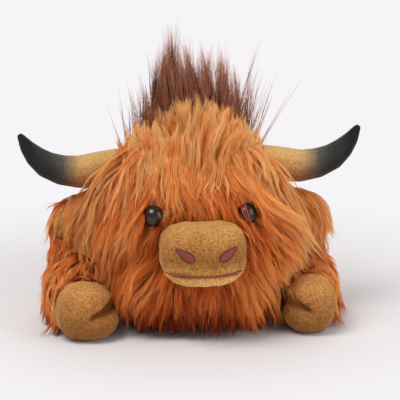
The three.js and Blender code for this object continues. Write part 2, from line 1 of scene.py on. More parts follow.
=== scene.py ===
"""Dresses the jointed frame of a plush highland cow that lies on its belly.

The covers are grown with combed long pile over a knitted backing, the muzzle and hooves are
cut from short velboa, the horns are airbrushed, and the eyes, nostrils and mouth are added.
Sizes are in millimetres in the frame's own axes: the cow faces -Y, its left side is +X.
"""

import logging
import math
from collections.abc import Callable
from dataclasses import dataclass, field
from enum import Enum

import bpy
import numpy as np
from bpy.types import ID, Material, Mesh, NodeSocket, Object, World
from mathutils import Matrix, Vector
from mathutils.bvhtree import BVHTree


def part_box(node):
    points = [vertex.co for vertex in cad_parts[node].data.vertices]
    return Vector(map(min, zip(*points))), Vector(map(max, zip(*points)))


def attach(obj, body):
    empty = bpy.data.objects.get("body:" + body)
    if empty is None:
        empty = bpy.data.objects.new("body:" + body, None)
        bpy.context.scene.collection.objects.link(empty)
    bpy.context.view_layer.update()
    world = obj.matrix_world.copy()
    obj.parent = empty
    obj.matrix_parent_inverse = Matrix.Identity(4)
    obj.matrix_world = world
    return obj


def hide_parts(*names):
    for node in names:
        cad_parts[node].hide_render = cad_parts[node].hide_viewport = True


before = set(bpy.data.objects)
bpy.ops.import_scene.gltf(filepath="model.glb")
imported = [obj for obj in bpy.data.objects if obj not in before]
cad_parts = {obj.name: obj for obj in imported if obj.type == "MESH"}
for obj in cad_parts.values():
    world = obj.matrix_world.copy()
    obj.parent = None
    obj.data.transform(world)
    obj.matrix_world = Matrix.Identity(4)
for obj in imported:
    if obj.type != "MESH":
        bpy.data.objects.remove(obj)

MM = 0.001
TINT = "pile_tint"
BAKE_MAP = "OFBake"
LOG = logging.getLogger("plush_cow")

Points = np.ndarray
Spot = tuple[float, float, float]
Faces = list[tuple[int, ...]]


class Side(Enum):
    """One side of the animal, as the sign of its X."""

    LEFT = 1
    RIGHT = -1

    @property
    def word(self) -> str:
        """The side's name as pieces carry it."""
        return self.name.lower()


def linear(code: str) -> tuple[float, float, float]:
    """Turns an sRGB hex code into linear light.

    Args:
        code: Six hex digits after a hash sign.

    Returns:
        Red, green and blue in linear light.
    """
    parts = [int(code[i : i + 2], 16) / 255 for i in (1, 3, 5)]
    return tuple(c / 12.92 if c <= 0.04045 else ((c + 0.055) / 1.055) ** 2.4 for c in parts)


def unit(vectors: Points) -> Points:
    """Returns the vectors at length one, along their last axis."""
    length = np.linalg.norm(vectors, axis=-1, keepdims=True)
    return vectors / np.maximum(length, 1e-9)


def smooth_noise(points: Points, size: float, seed: int) -> Points:
    """Gives smooth values from -1 to 1 that change over a given distance.

    Args:
        points: Places in millimetres, one to a row.
        size: The distance over which the value changes, in millimetres.
        seed: Picks another pattern of values.

    Returns:
        One value to a place.
    """
    dice = np.random.default_rng(seed)
    total = np.zeros(len(points))
    waves = 6
    for _ in range(waves):
        way = unit(dice.normal(size=3)) * (2 * math.pi / size) * dice.uniform(0.5, 1.3)
        total += np.sin(points @ way + dice.uniform(0, 2 * math.pi))
    return np.clip(total / waves**0.5, -1, 1)


# Materials


def add_node(
    holder: Material | World, kind: str, output: str | int = 0, inputs: dict | None = None,
    **settings: object,
) -> NodeSocket | None:
    """Adds a shader node with its settings and its inputs.

    Args:
        holder: What holds the node tree.
        kind: The node's Blender type name, less its first word.
        output: Name or number of the output that is wanted.
        inputs: Input values by name or number. An output socket is linked instead of set.
        settings: Properties of the node, by name.

    Returns:
        The wanted output socket, or nothing from a node without outputs.
    """
    tree = holder.node_tree
    node = tree.nodes.new("ShaderNode" + kind)
    for name, value in settings.items():
        setattr(node, name, value)
    for name, value in (inputs or {}).items():
        if isinstance(value, NodeSocket):
            tree.links.new(value, node.inputs[name])
        else:
            node.inputs[name].default_value = value
    return node.outputs[output] if len(node.outputs) else None


def opaque(code: str) -> tuple[float, float, float, float]:
    """Returns a hex colour as a linear colour with full alpha."""
    return (*linear(code), 1.0)


def set_stops(colour: NodeSocket, tones: tuple[str, ...]) -> NodeSocket:
    """Spaces tones, as sRGB hex codes, evenly along a colour ramp, and returns its output.

    Args:
        colour: The ramp's output.
        tones: The tones.

    Returns:
        The same output.
    """
    stops = colour.node.color_ramp.elements
    stops[0].position, stops[0].color = 0.0, opaque(tones[0])
    stops[1].position, stops[1].color = 1.0, opaque(tones[-1])
    for place, tone in enumerate(tones[1:-1], start=1):
        stops.new(place / (len(tones) - 1)).color = opaque(tone)
    return colour


TINTED = {"data_type": "RGBA", "blend_type": "MULTIPLY"}


@dataclass(frozen=True)
class Finish:
    """What a surface is made of, and how it was made."""

    name: str

    def look(self, made: Material) -> dict[str, object]:
        """Returns the inputs of the principled shader."""
        return {}

    def shader(self, made: Material) -> NodeSocket:
        """Adds the shader and returns its output."""
        return add_node(made, "BsdfPrincipled", 0, self.look(made))

    def material(self) -> Material:
        """Builds the material."""
        made = bpy.data.materials.new(self.name)
        made.use_nodes = True
        made.node_tree.nodes.clear()
        add_node(made, "OutputMaterial", inputs={"Surface": self.shader(made)})
        return made


@dataclass(frozen=True)
class LongPile(Finish):
    """Modacrylic faux fur, knitted as long silky pile and brushed.

    The fibres are smooth, so they shine along their length and look soft where light grazes.
    Their tint is held in the mesh: it carries painted shade, darker at the root deep in the pile,
    underneath and near the floor, and painted light on the lit top and side.
    """

    roughness: float = 0.55
    sheen: float = 0.12
    sheen_tint: str = "#ff9a50"
    shine: float = 0.2

    def look(self, made: Material) -> dict[str, object]:
        """Reads each fibre's tint.

        Args:
            made: The material that the nodes go into.

        Returns:
            The inputs of the shader, by name.
        """
        return {
            "Base Color": add_node(made, "Attribute", "Color", attribute_name=TINT),
            "Roughness": self.roughness, "Specular IOR Level": self.shine,
            "Sheen Weight": self.sheen, "Sheen Roughness": 0.4,
            "Sheen Tint": opaque(self.sheen_tint),
        }


@dataclass(frozen=True)
class KnitBacking(Finish):
    """Polyester knit that the pile is tufted through: matt, with loops every 1.4 mm."""

    colour: str
    loop_mm: float = 1.4

    def look(self, made: Material) -> dict[str, object]:
        """Darkens the knit between its loops.

        Args:
            made: The material that the nodes go into.

        Returns:
            The inputs of the shader, by name.
        """
        where = add_node(made, "TexCoord", "Object")
        scale = 1 / (self.loop_mm * MM)
        loops = add_node(made, "TexVoronoi", "Distance", {"Vector": where, "Scale": scale})
        mix = {"Factor": 0.5, "A": opaque(self.colour), "B": loops}
        ridges = {"Strength": 0.6, "Distance": 0.4 * MM, "Height": loops}
        return {
            "Base Color": add_node(made, "Mix", "Result", mix, **TINTED), "Roughness": 0.95,
            "Normal": add_node(made, "Bump", "Normal", ridges),
        }


@dataclass(frozen=True, kw_only=True)
class ShortPile(Finish):
    """Short cut polyester pile, whose tufts leave dark specks and whose tips catch the light.

    Attributes:
        tuft_mm: Size of a tuft, in millimetres.
        raggedness: How much finer the tufts are within themselves.
        thin: From what to what share the nap is thin or thick.
        shade: How dark it is where it is thin, and how light where it is thick.
        nap_mm: Height of the nap.
        roughness: How matt it is.
        sheen: How much light its tips catch.
        sheen_tint: Colour of that light.
    """

    tuft_mm: float = 1.5
    raggedness: float = 0.6
    thin: tuple[float, float] = (0.3, 0.66)
    shade: tuple[float, float] = (0.55, 1.28)
    nap_mm: float = 0.8
    roughness: float = 0.9
    sheen: float = 0.5
    sheen_tint: str = "#ffd08a"

    def dye_and_painted_light(self, made: Material, where: NodeSocket) -> NodeSocket:
        """Returns the cloth's colour with its painted light and shade, under the nap's specks."""
        raise NotImplementedError

    def look(self, made: Material) -> dict[str, object]:
        """Lays the nap over the cloth's colour and its painted light and shade.

        Args:
            made: The material that the nodes go into.

        Returns:
            The inputs of the shader, by name.
        """
        where = add_node(made, "TexCoord", "Object")
        # The cloth's colour, with the light and shade that its tones paint in.
        dye_and_painted_light = self.dye_and_painted_light(made, where)
        grain = {"Scale": 1 / (self.tuft_mm * MM), "Detail": 2.0, "Roughness": self.raggedness}
        tufts = add_node(made, "TexNoise", "Fac", {"Vector": where, **grain})
        spread = {"From Min": self.thin[0], "From Max": self.thin[1]}
        spread |= {"To Min": self.shade[0], "To Max": self.shade[1]}
        specks = add_node(made, "MapRange", "Result", {"Value": tufts, **spread})
        mix = {"Factor": 1.0, "A": dye_and_painted_light, "B": specks}
        nap = {"Strength": 0.5, "Distance": self.nap_mm * MM, "Height": tufts}
        return {
            "Base Color": add_node(made, "Mix", "Result", mix, **TINTED),
            "Roughness": self.roughness, "Specular IOR Level": 0.15, "Sheen Weight": self.sheen,
            "Sheen Roughness": 0.4, "Sheen Tint": opaque(self.sheen_tint),
            "Normal": add_node(made, "Bump", "Normal", nap),
        }


@dataclass(frozen=True)
class Velboa(ShortPile):
    """Velboa: warp-knit polyester with a 2 mm cut pile, brushed by hand.

    The nap stands in small tufts that leave dark specks between them, and its tips catch
    the light, so a form looks paler toward its rim. Its tones paint light and shade from the
    bottom of the form to the top: paler where light falls on it, darker where it lies in shade.
    """

    tones: tuple[str, ...]
    low_mm: float
    high_mm: float

    def dye_and_painted_light(self, made: Material, where: NodeSocket) -> NodeSocket:
        """Paints light and shade over the cloth with its tones, from the bottom of the form to the
        top.

        Args:
            made: The material that the nodes go into.
            where: Places on the piece.

        Returns:
            The cloth's colour with its painted light and shade.
        """
        # Painted light and shade: the tones follow the form's height over the floor.
        height = add_node(made, "SeparateXYZ", "Z", {0: where})
        ends = {"From Min": self.low_mm * MM, "From Max": self.high_mm * MM}
        rise = add_node(made, "MapRange", "Result", {"Value": height, **ends})
        grain = {"Vector": where, "Scale": 1 / (8 * self.tuft_mm * MM), "Detail": 1.0}
        clouds = add_node(made, "TexNoise", "Fac", grain)
        drift = add_node(made, "Math", 0, {0: clouds, 1: 0.35, 2: rise}, operation="MULTIPLY_ADD")
        centred = {"Value": drift, "From Min": 0.17, "From Max": 1.17}
        spread = add_node(made, "MapRange", "Result", centred)
        return set_stops(add_node(made, "ValToRGB", "Color", {"Fac": spread}), self.tones)


@dataclass(frozen=True)
class AirbrushedPile(ShortPile):
    """Short polyester pile, airbrushed from charcoal at the horn's tip to bare tan.

    The spray thins to a mist over a few centimetres, so the tan shows through it as a
    greenish grey on top; the under tones paint the underside browner and darker, as painted
    shade where the pile faces down.
    """

    upper: tuple[str, ...] = ("#d2a768", "#c9a066", "#967f5c", "#54534a", "#3e403d", "#323434")
    # Painted shade: these under tones colour the parts that face down.
    under: tuple[str, ...] = ("#a4683a", "#96603a", "#6a4a38", "#423833", "#2c2a29", "#242425")
    fade_start_mm: float = 78
    fade_end_mm: float = 108
    tip_mm: float = 112
    mist_mm: float = 14.3
    tip: str = "#202023"

    def dye_and_painted_light(self, made: Material, where: NodeSocket) -> NodeSocket:
        """Sprays the pile by how far out along the horn it is, and paints shade where it faces
        down.

        Args:
            made: The material that the nodes go into.
            where: Places on the piece.

        Returns:
            The sprayed colour with its painted shade.
        """
        across = add_node(made, "SeparateXYZ", "X", {0: where})
        out = add_node(made, "Math", 0, {0: across}, operation="ABSOLUTE")
        grain = {"Vector": where, "Scale": 1 / (self.mist_mm * MM), "Detail": 4.0}
        mist = add_node(made, "TexNoise", "Fac", grain)
        drift = {0: mist, 1: 9 * MM, 2: out}
        misted = add_node(made, "Math", 0, drift, operation="MULTIPLY_ADD")
        ends = {"From Min": self.fade_start_mm * MM, "From Max": self.fade_end_mm * MM}
        fade = add_node(made, "MapRange", "Result", {"Value": misted, **ends})
        # Painted shade: where the normal turns down, the under tones take over from the upper ones.
        facing = add_node(made, "NewGeometry", "Normal")
        tilt = add_node(made, "SeparateXYZ", "Z", {0: facing})
        turned = {"Value": tilt, "From Min": 0.8, "From Max": -0.5}
        shaded = add_node(made, "MapRange", "Result", turned)
        upper, under = (
            set_stops(add_node(made, "ValToRGB", "Color", {"Fac": fade}), tones)
            for tones in (self.upper, self.under)
        )
        sides = {"Factor": shaded, "A": upper, "B": under}
        sprayed_and_shaded = add_node(made, "Mix", "Result", sides, data_type="RGBA")
        ends = {"From Min": (self.tip_mm - 4) * MM, "From Max": (self.tip_mm + 2) * MM}
        end = add_node(made, "MapRange", "Result", {"Value": out, **ends})
        dipped = {"Factor": end, "A": sprayed_and_shaded, "B": opaque(self.tip)}
        return add_node(made, "Mix", "Result", dipped, data_type="RGBA")


@dataclass(frozen=True)
class RayonThread(Finish):
    """Rayon embroidery thread: twisted filaments with a silky shine along the stitch."""

    colour: str
    twist_mm: float = 0.5

    def look(self, made: Material) -> dict[str, object]:
        """Shows the thread's twist as fine ridges.

        Args:
            made: The material that the nodes go into.

        Returns:
            The inputs of the shader, by name.
        """
        where = add_node(made, "TexCoord", "Object")
        scale = 1 / (self.twist_mm * MM)
        twist = add_node(made, "TexNoise", "Fac", {"Vector": where, "Scale": scale})
        mix = {"Factor": 0.45, "A": opaque(self.colour), "B": twist}
        ridges = {"Strength": 0.4, "Distance": 0.2 * MM, "Height": twist}
        return {
            "Base Color": add_node(made, "Mix", "Result", mix, **TINTED), "Roughness": 0.42,
            "Sheen Weight": 0.2, "Normal": add_node(made, "Bump", "Normal", ridges),
        }


@dataclass(frozen=True)
class MouldedPlastic(Finish):
    """Injection-moulded plastic: glossy ABS for the eyes, dull nylon for their washers."""

    colour: str
    roughness: float
    flow_mm: float = 4.55

    def look(self, made: Material) -> dict[str, object]:
        """Gives the plastic the faint unevenness of a moulded surface.

        Args:
            made: The material that the nodes go into.

        Returns:
            The inputs of the shader, by name.
        """
        where = add_node(made, "TexCoord", "Object")
        grain = {"Vector": where, "Scale": 1 / (self.flow_mm * MM), "Detail": 1.0}
        flow = add_node(made, "TexNoise", "Fac", grain)
        mix = {"Factor": 0.3, "A": opaque(self.colour), "B": flow}
        return {
            "Base Color": add_node(made, "Mix", "Result", mix, **TINTED),
            "Roughness": self.roughness, "IOR": 1.53,
        }


@dataclass(frozen=True)
class Paper(Finish):
    """Seamless matt paper under the toy, which fades into the backdrop away from it."""

    near: str
    far: str

    def shader(self, made: Material) -> NodeSocket:
        """Mixes the paper with a glow in the backdrop's colour, by the distance.

        Args:
            made: The material that the nodes go into.

        Returns:
            The mixed shader.
        """
        place = add_node(made, "NewGeometry", "Position")
        far = add_node(made, "VectorMath", "Value", {0: place}, operation="LENGTH")
        reach = {"Value": far, "From Min": 0.13, "From Max": 0.34}
        fade = add_node(made, "MapRange", "Result", reach, interpolation_type="SMOOTHSTEP")
        sheet = {"Base Color": opaque(self.near), "Roughness": 0.95, "Specular IOR Level": 0.1}
        sheet = add_node(made, "BsdfPrincipled", 0, sheet)
        glow = add_node(made, "Emission", 0, {"Color": opaque(self.far), "Strength": 1.0})
        return add_node(made, "MixShader", 0, {0: fade, 1: sheet, 2: glow})


GINGER = ("#7a220a", "#cb5820", "#ee8238", "#ffaa5a", "#ffc984")
BROWN = ("#3a150c", "#7c4230", "#ad6c52", "#cf9a7e")
GINGER_PILE = LongPile("modacrylic_long_pile_ginger")
BROWN_PILE = LongPile("modacrylic_long_pile_brown", sheen=0.1, sheen_tint="#c98a6a")
GINGER_BACKING = KnitBacking("polyester_knit_backing_ginger", "#8e3f18")
BROWN_BACKING = KnitBacking("polyester_knit_backing_brown", "#3c2118")
# Painted light and shade in the muzzle's tones: its lip is lightened where it faces down, its
# front's middle darkened and its top lightened where the light falls.
MUZZLE_VELBOA = Velboa(
    "velboa_tan_muzzle", ("#ecba74", "#c68c4a", "#925e2b", "#ae763b", "#c49250"), 44, 88
)
# Painted shade in the hooves' tones: darker toward the floor, lighter toward their tops.
HOOF_VELBOA = Velboa(
    "velboa_tan_hoof", ("#8a5529", "#95602f", "#a36c38", "#b67c42", "#cc9254"), 2, 41
)
LINING_VELBOA = Velboa("velboa_tan_ear_lining", ("#80502a", "#a0692f", "#b98448"), 50, 92)
HORN_PILE = AirbrushedPile(
    "short_pile_airbrushed_horn", tuft_mm=1.2, raggedness=0.5, thin=(0.32, 0.62),
    shade=(0.72, 1.1), nap_mm=0.7, roughness=0.88, sheen=0.3, sheen_tint="#d9d4b8",
)
MOUTH_THREAD = RayonThread("rayon_thread_maroon", "#8a2f12")
NOSTRIL_THREAD = RayonThread("rayon_thread_brick", "#a2371a")
NOSTRIL_EDGE = RayonThread("rayon_thread_dark_brick", "#4f1b0c")
EYE_PLASTIC = MouldedPlastic("lacquered_abs_eye", "#231009", 0.16)
WASHER_PLASTIC = MouldedPlastic("moulded_nylon_washer", "#e8e6e0", 0.5)


# Meshes


def read_points(mesh: Mesh) -> Points:
    """Returns a mesh's vertices in millimetres, one to a row."""
    flat = np.empty(len(mesh.vertices) * 3, np.float32)
    mesh.vertices.foreach_get("co", flat)
    return flat.reshape(-1, 3).astype(float) / MM


def read_normals(mesh: Mesh) -> Points:
    """Returns a mesh's vertex normals, one to a row."""
    flat = np.empty(len(mesh.vertices) * 3, np.float32)
    mesh.vertices.foreach_get("normal", flat)
    return flat.reshape(-1, 3).astype(float)


def write_points(mesh: Mesh, points: Points) -> None:
    """Moves a mesh's vertices to places in millimetres."""
    mesh.vertices.foreach_set("co", (points * MM).astype(np.float32).ravel())
    mesh.update()


def new_object(name: str, mesh: Mesh, material: Material) -> Object:
    """Links a mesh to the scene as a smooth-shaded object with one material.

    Args:
        name: Its name.
        mesh: The mesh.
        material: The material.

    Returns:
        The object.
    """
    made = bpy.data.objects.new(name, mesh)
    bpy.context.scene.collection.objects.link(made)
    mesh.materials.clear()
    mesh.materials.append(material)
    mesh.shade_smooth()
    return made


def mesh_from(name: str, points: Points, faces: Faces) -> Mesh:
    """Makes a mesh from places in millimetres and faces that number them."""
    mesh = bpy.data.meshes.new(name)
    mesh.from_pydata((points * MM).tolist(), [], faces)
    mesh.update()
    return mesh


def softened(name: str, nodes: tuple[str, ...], voxel_mm: float, rounds: int) -> Mesh:
    """Sews CAD solids into one even, softly rounded skin.

    Args:
        name: Name of the new mesh.
        nodes: CAD nodes that lie inside the skin.
        voxel_mm: Size of the new skin's faces.
        rounds: How often it is smoothed.

    Returns:
        A closed mesh in the frame's axes, in metres.
    """
    points, faces = [], []
    for node in nodes:
        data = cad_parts[node].data
        start = sum(len(p) for p in points)
        points.append(read_points(data))
        faces += [tuple(start + v for v in p.vertices) for p in data.polygons]
    return reskinned(name, mesh_from(name, np.vstack(points), faces), voxel_mm, rounds)


def reskinned(name: str, mesh: Mesh, voxel_mm: float, rounds: int) -> Mesh:
    """Gives a closed mesh a new skin of even faces, and smooths it.

    Args:
        name: The new mesh's name.
        mesh: The closed mesh.
        voxel_mm: Size of the faces.
        rounds: How often it is smoothed.

    Returns:
        The new mesh.
    """
    work = bpy.data.objects.new(name, mesh)
    bpy.context.scene.collection.objects.link(work)
    remesh = work.modifiers.new("remesh", "REMESH")
    remesh.mode, remesh.voxel_size = "VOXEL", voxel_mm * MM
    smooth = work.modifiers.new("smooth", "SMOOTH")
    smooth.factor, smooth.iterations = 0.5, rounds
    graph = bpy.context.evaluated_depsgraph_get()
    made = bpy.data.meshes.new_from_object(work.evaluated_get(graph))
    bpy.data.objects.remove(work)
    made.name = name
    return made


class Surface:
    """A closed surface that hair grows from or lies over.

    Attributes:
        points: Its vertices in millimetres.
        normals: Its vertex normals.
        faces: The corners of its triangles.
        tree: Its search tree, in millimetres.
    """

    def __init__(self, meshes: list[Mesh]) -> None:
        """Collects one or more meshes into one surface.

        Args:
            meshes: The meshes, in metres.
        """
        corners, normals, faces = [], [], []
        for mesh in meshes:
            start = sum(len(c) for c in corners)
            corners.append(read_points(mesh))
            normals.append(read_normals(mesh))
            mesh.calc_loop_triangles()
            faces += [tuple(start + v for v in t.vertices) for t in mesh.loop_triangles]
        self.points, self.normals = np.vstack(corners), np.vstack(normals)
        self.faces = np.array(faces)
        self.tree = BVHTree.FromPolygons(self.points.tolist(), faces)

    def scatter(
        self, count: int, dice: np.random.Generator, keep: Callable
    ) -> tuple[Points, Points]:
        """Scatters places evenly over the surface.

        Args:
            count: How many to try.
            dice: Source of the random draws.
            keep: Takes places and normals and returns each place's share of hair.

        Returns:
            The places and the normals there.
        """
        a, b, c = (self.points[self.faces[:, k]] for k in range(3))
        cross = np.cross(b - a, c - a)
        area = np.linalg.norm(cross, axis=1)
        order = np.searchsorted(np.cumsum(area) / area.sum(), dice.random(count))
        one, two = np.sqrt(dice.random((count, 1))), dice.random((count, 1))
        places = (1 - one) * a[order] + one * (1 - two) * b[order] + one * two * c[order]
        normals = unit(cross[order])
        kept = dice.random(count) < keep(places, normals)
        return places[kept], normals[kept]

    def heights(self, points: Points) -> tuple[Points, Points]:
        """Measures how far places are above the surface.

        Args:
            points: Places in millimetres.

        Returns:
            The heights, below zero inside, and the directions that lead straight out.
        """
        found = [self.tree.find_nearest(Vector(point)) for point in points]
        near = np.array([hit[0] for hit in found])
        corners = self.faces[[hit[2] for hit in found]]
        a, b, c = (self.points[corners[:, k]] for k in range(3))
        areas = [np.linalg.norm(np.cross(u - near, v - near), axis=1) for u, v in ((b, c), (c, a))]
        total = np.maximum(np.linalg.norm(np.cross(b - a, c - a), axis=1), 1e-9)
        shares = np.stack([areas[0] / total, areas[1] / total], axis=1)
        shares = np.hstack([shares, 1 - shares.sum(1, keepdims=True)])
        ways = unit((self.normals[corners] * shares[..., None]).sum(1))
        gap = points - near
        sign = np.where((gap * ways).sum(1) < 0, -1, 1)
        return np.linalg.norm(gap, axis=1) * sign, ways

    def outside(self, points: Points, margin: float) -> Points:
        """Returns 1 for places that are outside the surface by more than a margin, or 0.

        Args:
            points: The places.
            margin: The margin.

        Returns:
            A 1 or a 0 for each place.
        """
        low, high = self.points.min(axis=0) - margin, self.points.max(axis=0) + margin
        within = ((points > low) & (points < high)).all(axis=1)
        found = np.ones(len(points))
        if within.any():
            found[within] = self.heights(points[within])[0] > margin
        return found

    def push_out(self, points: Points, clearance: Points) -> Points:
        """Moves places that are too near the surface, or inside it, out to a clearance."""
        heights, ways = self.heights(points)
        return points + ways * np.maximum(clearance - heights, 0)[:, None]


# Long pile


@dataclass(frozen=True)
class Combing:
    """How the pile is combed at one place of a coat.

    Attributes:
        at: The place, from -1 to 1 across, front to back and bottom to top of the coat's box.
        way: The direction in which the locks point.
        length: Length of the pile in millimetres.
        lift: How steeply it stands at the root, from 0, flat, to 1, upright.
        tone: Its lightness, from -1 to 1; besides the pile's own colour it carries painted light
            and shade, lighter on lit tops and sides, darker underneath and in hollows.
        loft: How far above the backing the locks lie, in millimetres.
    """

    at: tuple[float, float, float]
    way: tuple[float, float, float]
    length: float = 40
    lift: float = 0.4
    tone: float = 0
    loft: float = 7


def both(*rows: tuple) -> list[Combing]:
    """Returns combings of the left side from rows of their values, then those of the right."""
    return [
        Combing((at[0] * s, *at[1:]), (way[0] * s, *way[1:]), *rest)
        for s in (1, -1)
        for at, way, *rest in rows
    ]


def tint_of(palette: tuple[str, ...], tone: Points) -> Points:
    """Turns tones from -1 to 1 into linear colours of a palette.

    Args:
        palette: Colours from the deepest to the palest, as sRGB hex codes.
        tone: The tones.

    Returns:
        A colour to each tone.
    """
    colours = np.array([linear(code) for code in palette])
    stops = np.linspace(-1, 1, len(colours))
    return np.stack([np.interp(tone, stops, colours[:, k]) for k in range(3)], axis=-1)


def followed(guides: Points, share: Points, cut: Points) -> Points:
    """Lets every strand of a lock follow the lock's guide line for a part of its length.

    Args:
        guides: The guide lines, as locks by stages by three.
        share: Shares of a strand's length at which it has a point.
        cut: What share of its guide line each strand reaches, as locks by strands.

    Returns:
        The strands' lines, as locks by strands by points by three.
    """
    last = guides.shape[1] - 1
    where = share * cut[..., None] * last
    below = np.clip(where.astype(int), 0, last - 1)
    part = (where - below)[..., None]
    rows = np.arange(len(guides))[:, None, None]
    return guides[rows, below] * (1 - part) + guides[rows, below + 1] * part


@dataclass
class Coat:
    """Long pile that grows from a backing in combed locks.

    Attributes:
        low: Lowest corner of the box that the combings are set in, in millimetres.
        high: Its highest corner.
        combings: How the pile lies at a few places; it is blended between them.
        palette: Deep, middle, light and palest colour, as sRGB hex codes.
        lock_width: How far the roots of one lock spread, in millimetres.
        strands: Strands in a lock.
        clump: How closely a lock's tips come together, from 0 to 1.
        thickness: Width of a strand at its root, in millimetres.
        wave: Height of the waves in a lock, in millimetres.
        wave_length: Length of a wave, in millimetres.
        rise: How strongly the tips follow the combing rather than the root's lift.
        fall: How strongly gravity draws the tips down.
        stray: Share of strands that leave their lock.
        steps: Stretches that a strand is made of.
        wander: How far the locks turn from the combing, alike in neighbouring locks.
        hem: Height over the floor at which the pile is trimmed; the painted shade near the floor
            reaches 12 mm above it.
        uneven: By what share the locks differ in length.
        FLOOR: Least height of a hair over the floor.
        BED: Height of the lowest locks over what they lie on.
        CLEAR: Least height of any lock over it.
    """

    low: Points
    high: Points
    combings: list[Combing]
    palette: tuple[str, ...]
    lock_width: float = 5.0
    strands: int = 12
    clump: float = 0.7
    thickness: float = 0.4
    wave: float = 1.6
    wave_length: float = 30
    rise: float = 0.45
    fall: float = 0.05
    stray: float = 0.09
    steps: int = 5
    seed: int = 7
    wander: float = 0.24
    hem: float = 0.0
    uneven: float = 0.2

    FLOOR = 0.35
    BED = 0.4
    CLEAR = 0.5

    def combed(self, places: Points) -> tuple[Points, Points]:
        """Blends the combings at the places.

        Args:
            places: The places.

        Returns:
            The directions, and a table of length, lift, tone and loft.
        """
        middle, half = (self.low + self.high) / 2, (self.high - self.low) / 2
        shares = (places - middle) / half
        at = np.array([c.at for c in self.combings])
        gap = ((shares[:, None, :] - at[None]) ** 2).sum(2)
        weight = 1 / (gap + 0.02) ** 2
        weight /= weight.sum(1, keepdims=True)
        ways = unit(np.array([c.way for c in self.combings], float))
        sizes = np.array([(c.length, c.lift, c.tone, c.loft) for c in self.combings])
        return unit(weight @ ways), weight @ sizes

    def guides(self, roots: Points, normals: Points, over: Surface) -> tuple[Points, Points]:
        """Grows one guide line to a lock.

        Args:
            roots: Places of the locks.
            normals: Normals of the backing there.
            over: Everything that the locks lie over.

        Returns:
            The guide lines, as locks by steps by three, and each lock's tone.
        """
        dice = np.random.default_rng(self.seed + 1)
        count, stages = len(roots), self.steps + 2
        _, sizes = self.combed(roots)
        length = sizes[:, 0] * dice.uniform(1 - self.uneven, 1 + self.uneven, count)
        lift = np.clip(sizes[:, 1] + dice.normal(0, 0.08, count), 0.05, 1)
        loft = sizes[:, 3] * dice.uniform(0.12, 1.0, count) ** 0.8
        step = (length / (stages - 1))[:, None]
        wander = self.wander * np.stack(
            [smooth_noise(roots, 26, self.seed + 10 + k) for k in range(3)], axis=1
        ) + dice.normal(0, 0.07, (count, 3))
        way, _ = self.combed(roots)
        flat = unit(way + wander - normals * (way * normals).sum(1, keepdims=True) * 0.8)
        heading = unit(normals * lift[:, None] + flat * (1 - lift[:, None]))
        line = [roots]
        for stage in range(1, stages):
            way, _ = self.combed(line[-1])
            share = self.rise
            heading = unit(heading * (1 - share) + (way + wander) * share)
            heading[:, 2] -= self.fall * stage
            heading = unit(heading)
            line.append(line[-1] + heading * step)
        guide = np.stack(line, axis=1)
        travelled = np.linspace(0, 1, stages)
        height = np.sin(np.clip(travelled * 1.6, 0, 1) * math.pi / 2) * (1 - 0.35 * travelled)
        for stage in range(1, stages):
            room = self.BED + loft * height[stage]
            guide[:, stage] = over.push_out(guide[:, stage], room)
        for _ in range(2):
            mean = (guide[:, :-2] + guide[:, 2:]) / 2
            guide[:, 1:-1] += 0.5 * (mean - guide[:, 1:-1])
        guide += self.waves(guide, normals, length, roots, dice)
        for stage in range(2, stages):
            guide[:, stage] = over.push_out(guide[:, stage], np.full(count, self.CLEAR))
        guide[:, 1:, 2] = np.maximum(guide[:, 1:, 2], self.FLOOR)
        tone = sizes[:, 2] + 0.28 * smooth_noise(roots, 13, self.seed + 20)
        return guide, tone + dice.normal(0, 0.11, count)

    def waves(
        self, guide: Points, normals: Points, length: Points, roots: Points,
        dice: np.random.Generator,
    ) -> Points:
        """Returns the sideways waves of the locks, alike in neighbouring locks.

        Args:
            guide: The locks' guide lines.
            normals: Normals at their roots.
            length: Their lengths.
            roots: Their roots.
            dice: Source of the random draws.

        Returns:
            How far each point of the guide lines moves.
        """
        stages = guide.shape[1]
        heading = unit(guide[:, -1] - guide[:, 0])
        across = unit(np.cross(heading, normals) + 1e-6)
        out = np.cross(across, heading)
        phase = 2.2 * smooth_noise(roots, 38, self.seed + 30) + dice.normal(0, 0.4, len(roots))
        height = self.wave * dice.uniform(0.4, 1.5, len(roots))
        travelled = np.linspace(0, 1, stages)[None, :]
        turn = 2 * math.pi * travelled * length[:, None] / self.wave_length + phase[:, None]
        swing = (np.sin(turn) - np.sin(phase)[:, None]) * height[:, None] * travelled**0.7
        bob = (np.cos(turn) - np.cos(phase)[:, None]) * height[:, None] * travelled * 0.5
        return across[:, None] * swing[..., None] + out[:, None] * bob[..., None]

    def trimmed(self, guide: Points, dice: np.random.Generator) -> Points:
        """Returns the share of each lock that is left when it is trimmed at the hem.

        Args:
            guide: The locks' guide lines.
            dice: Source of the random draws.

        Returns:
            A share for each lock, up to 1.
        """
        stages = guide.shape[1]
        ragged = smooth_noise(guide[:, -1], 9, self.seed + 40)
        hem = self.hem * np.clip(1.1 + 0.8 * ragged + dice.normal(0, 0.3, len(guide)), 0.2, 2.4)
        low = guide[..., 2] < hem[:, None]
        low[:, : stages // 3] = False
        first = np.where(low.any(axis=1), low.argmax(axis=1), stages - 1)
        return first / (stages - 1)

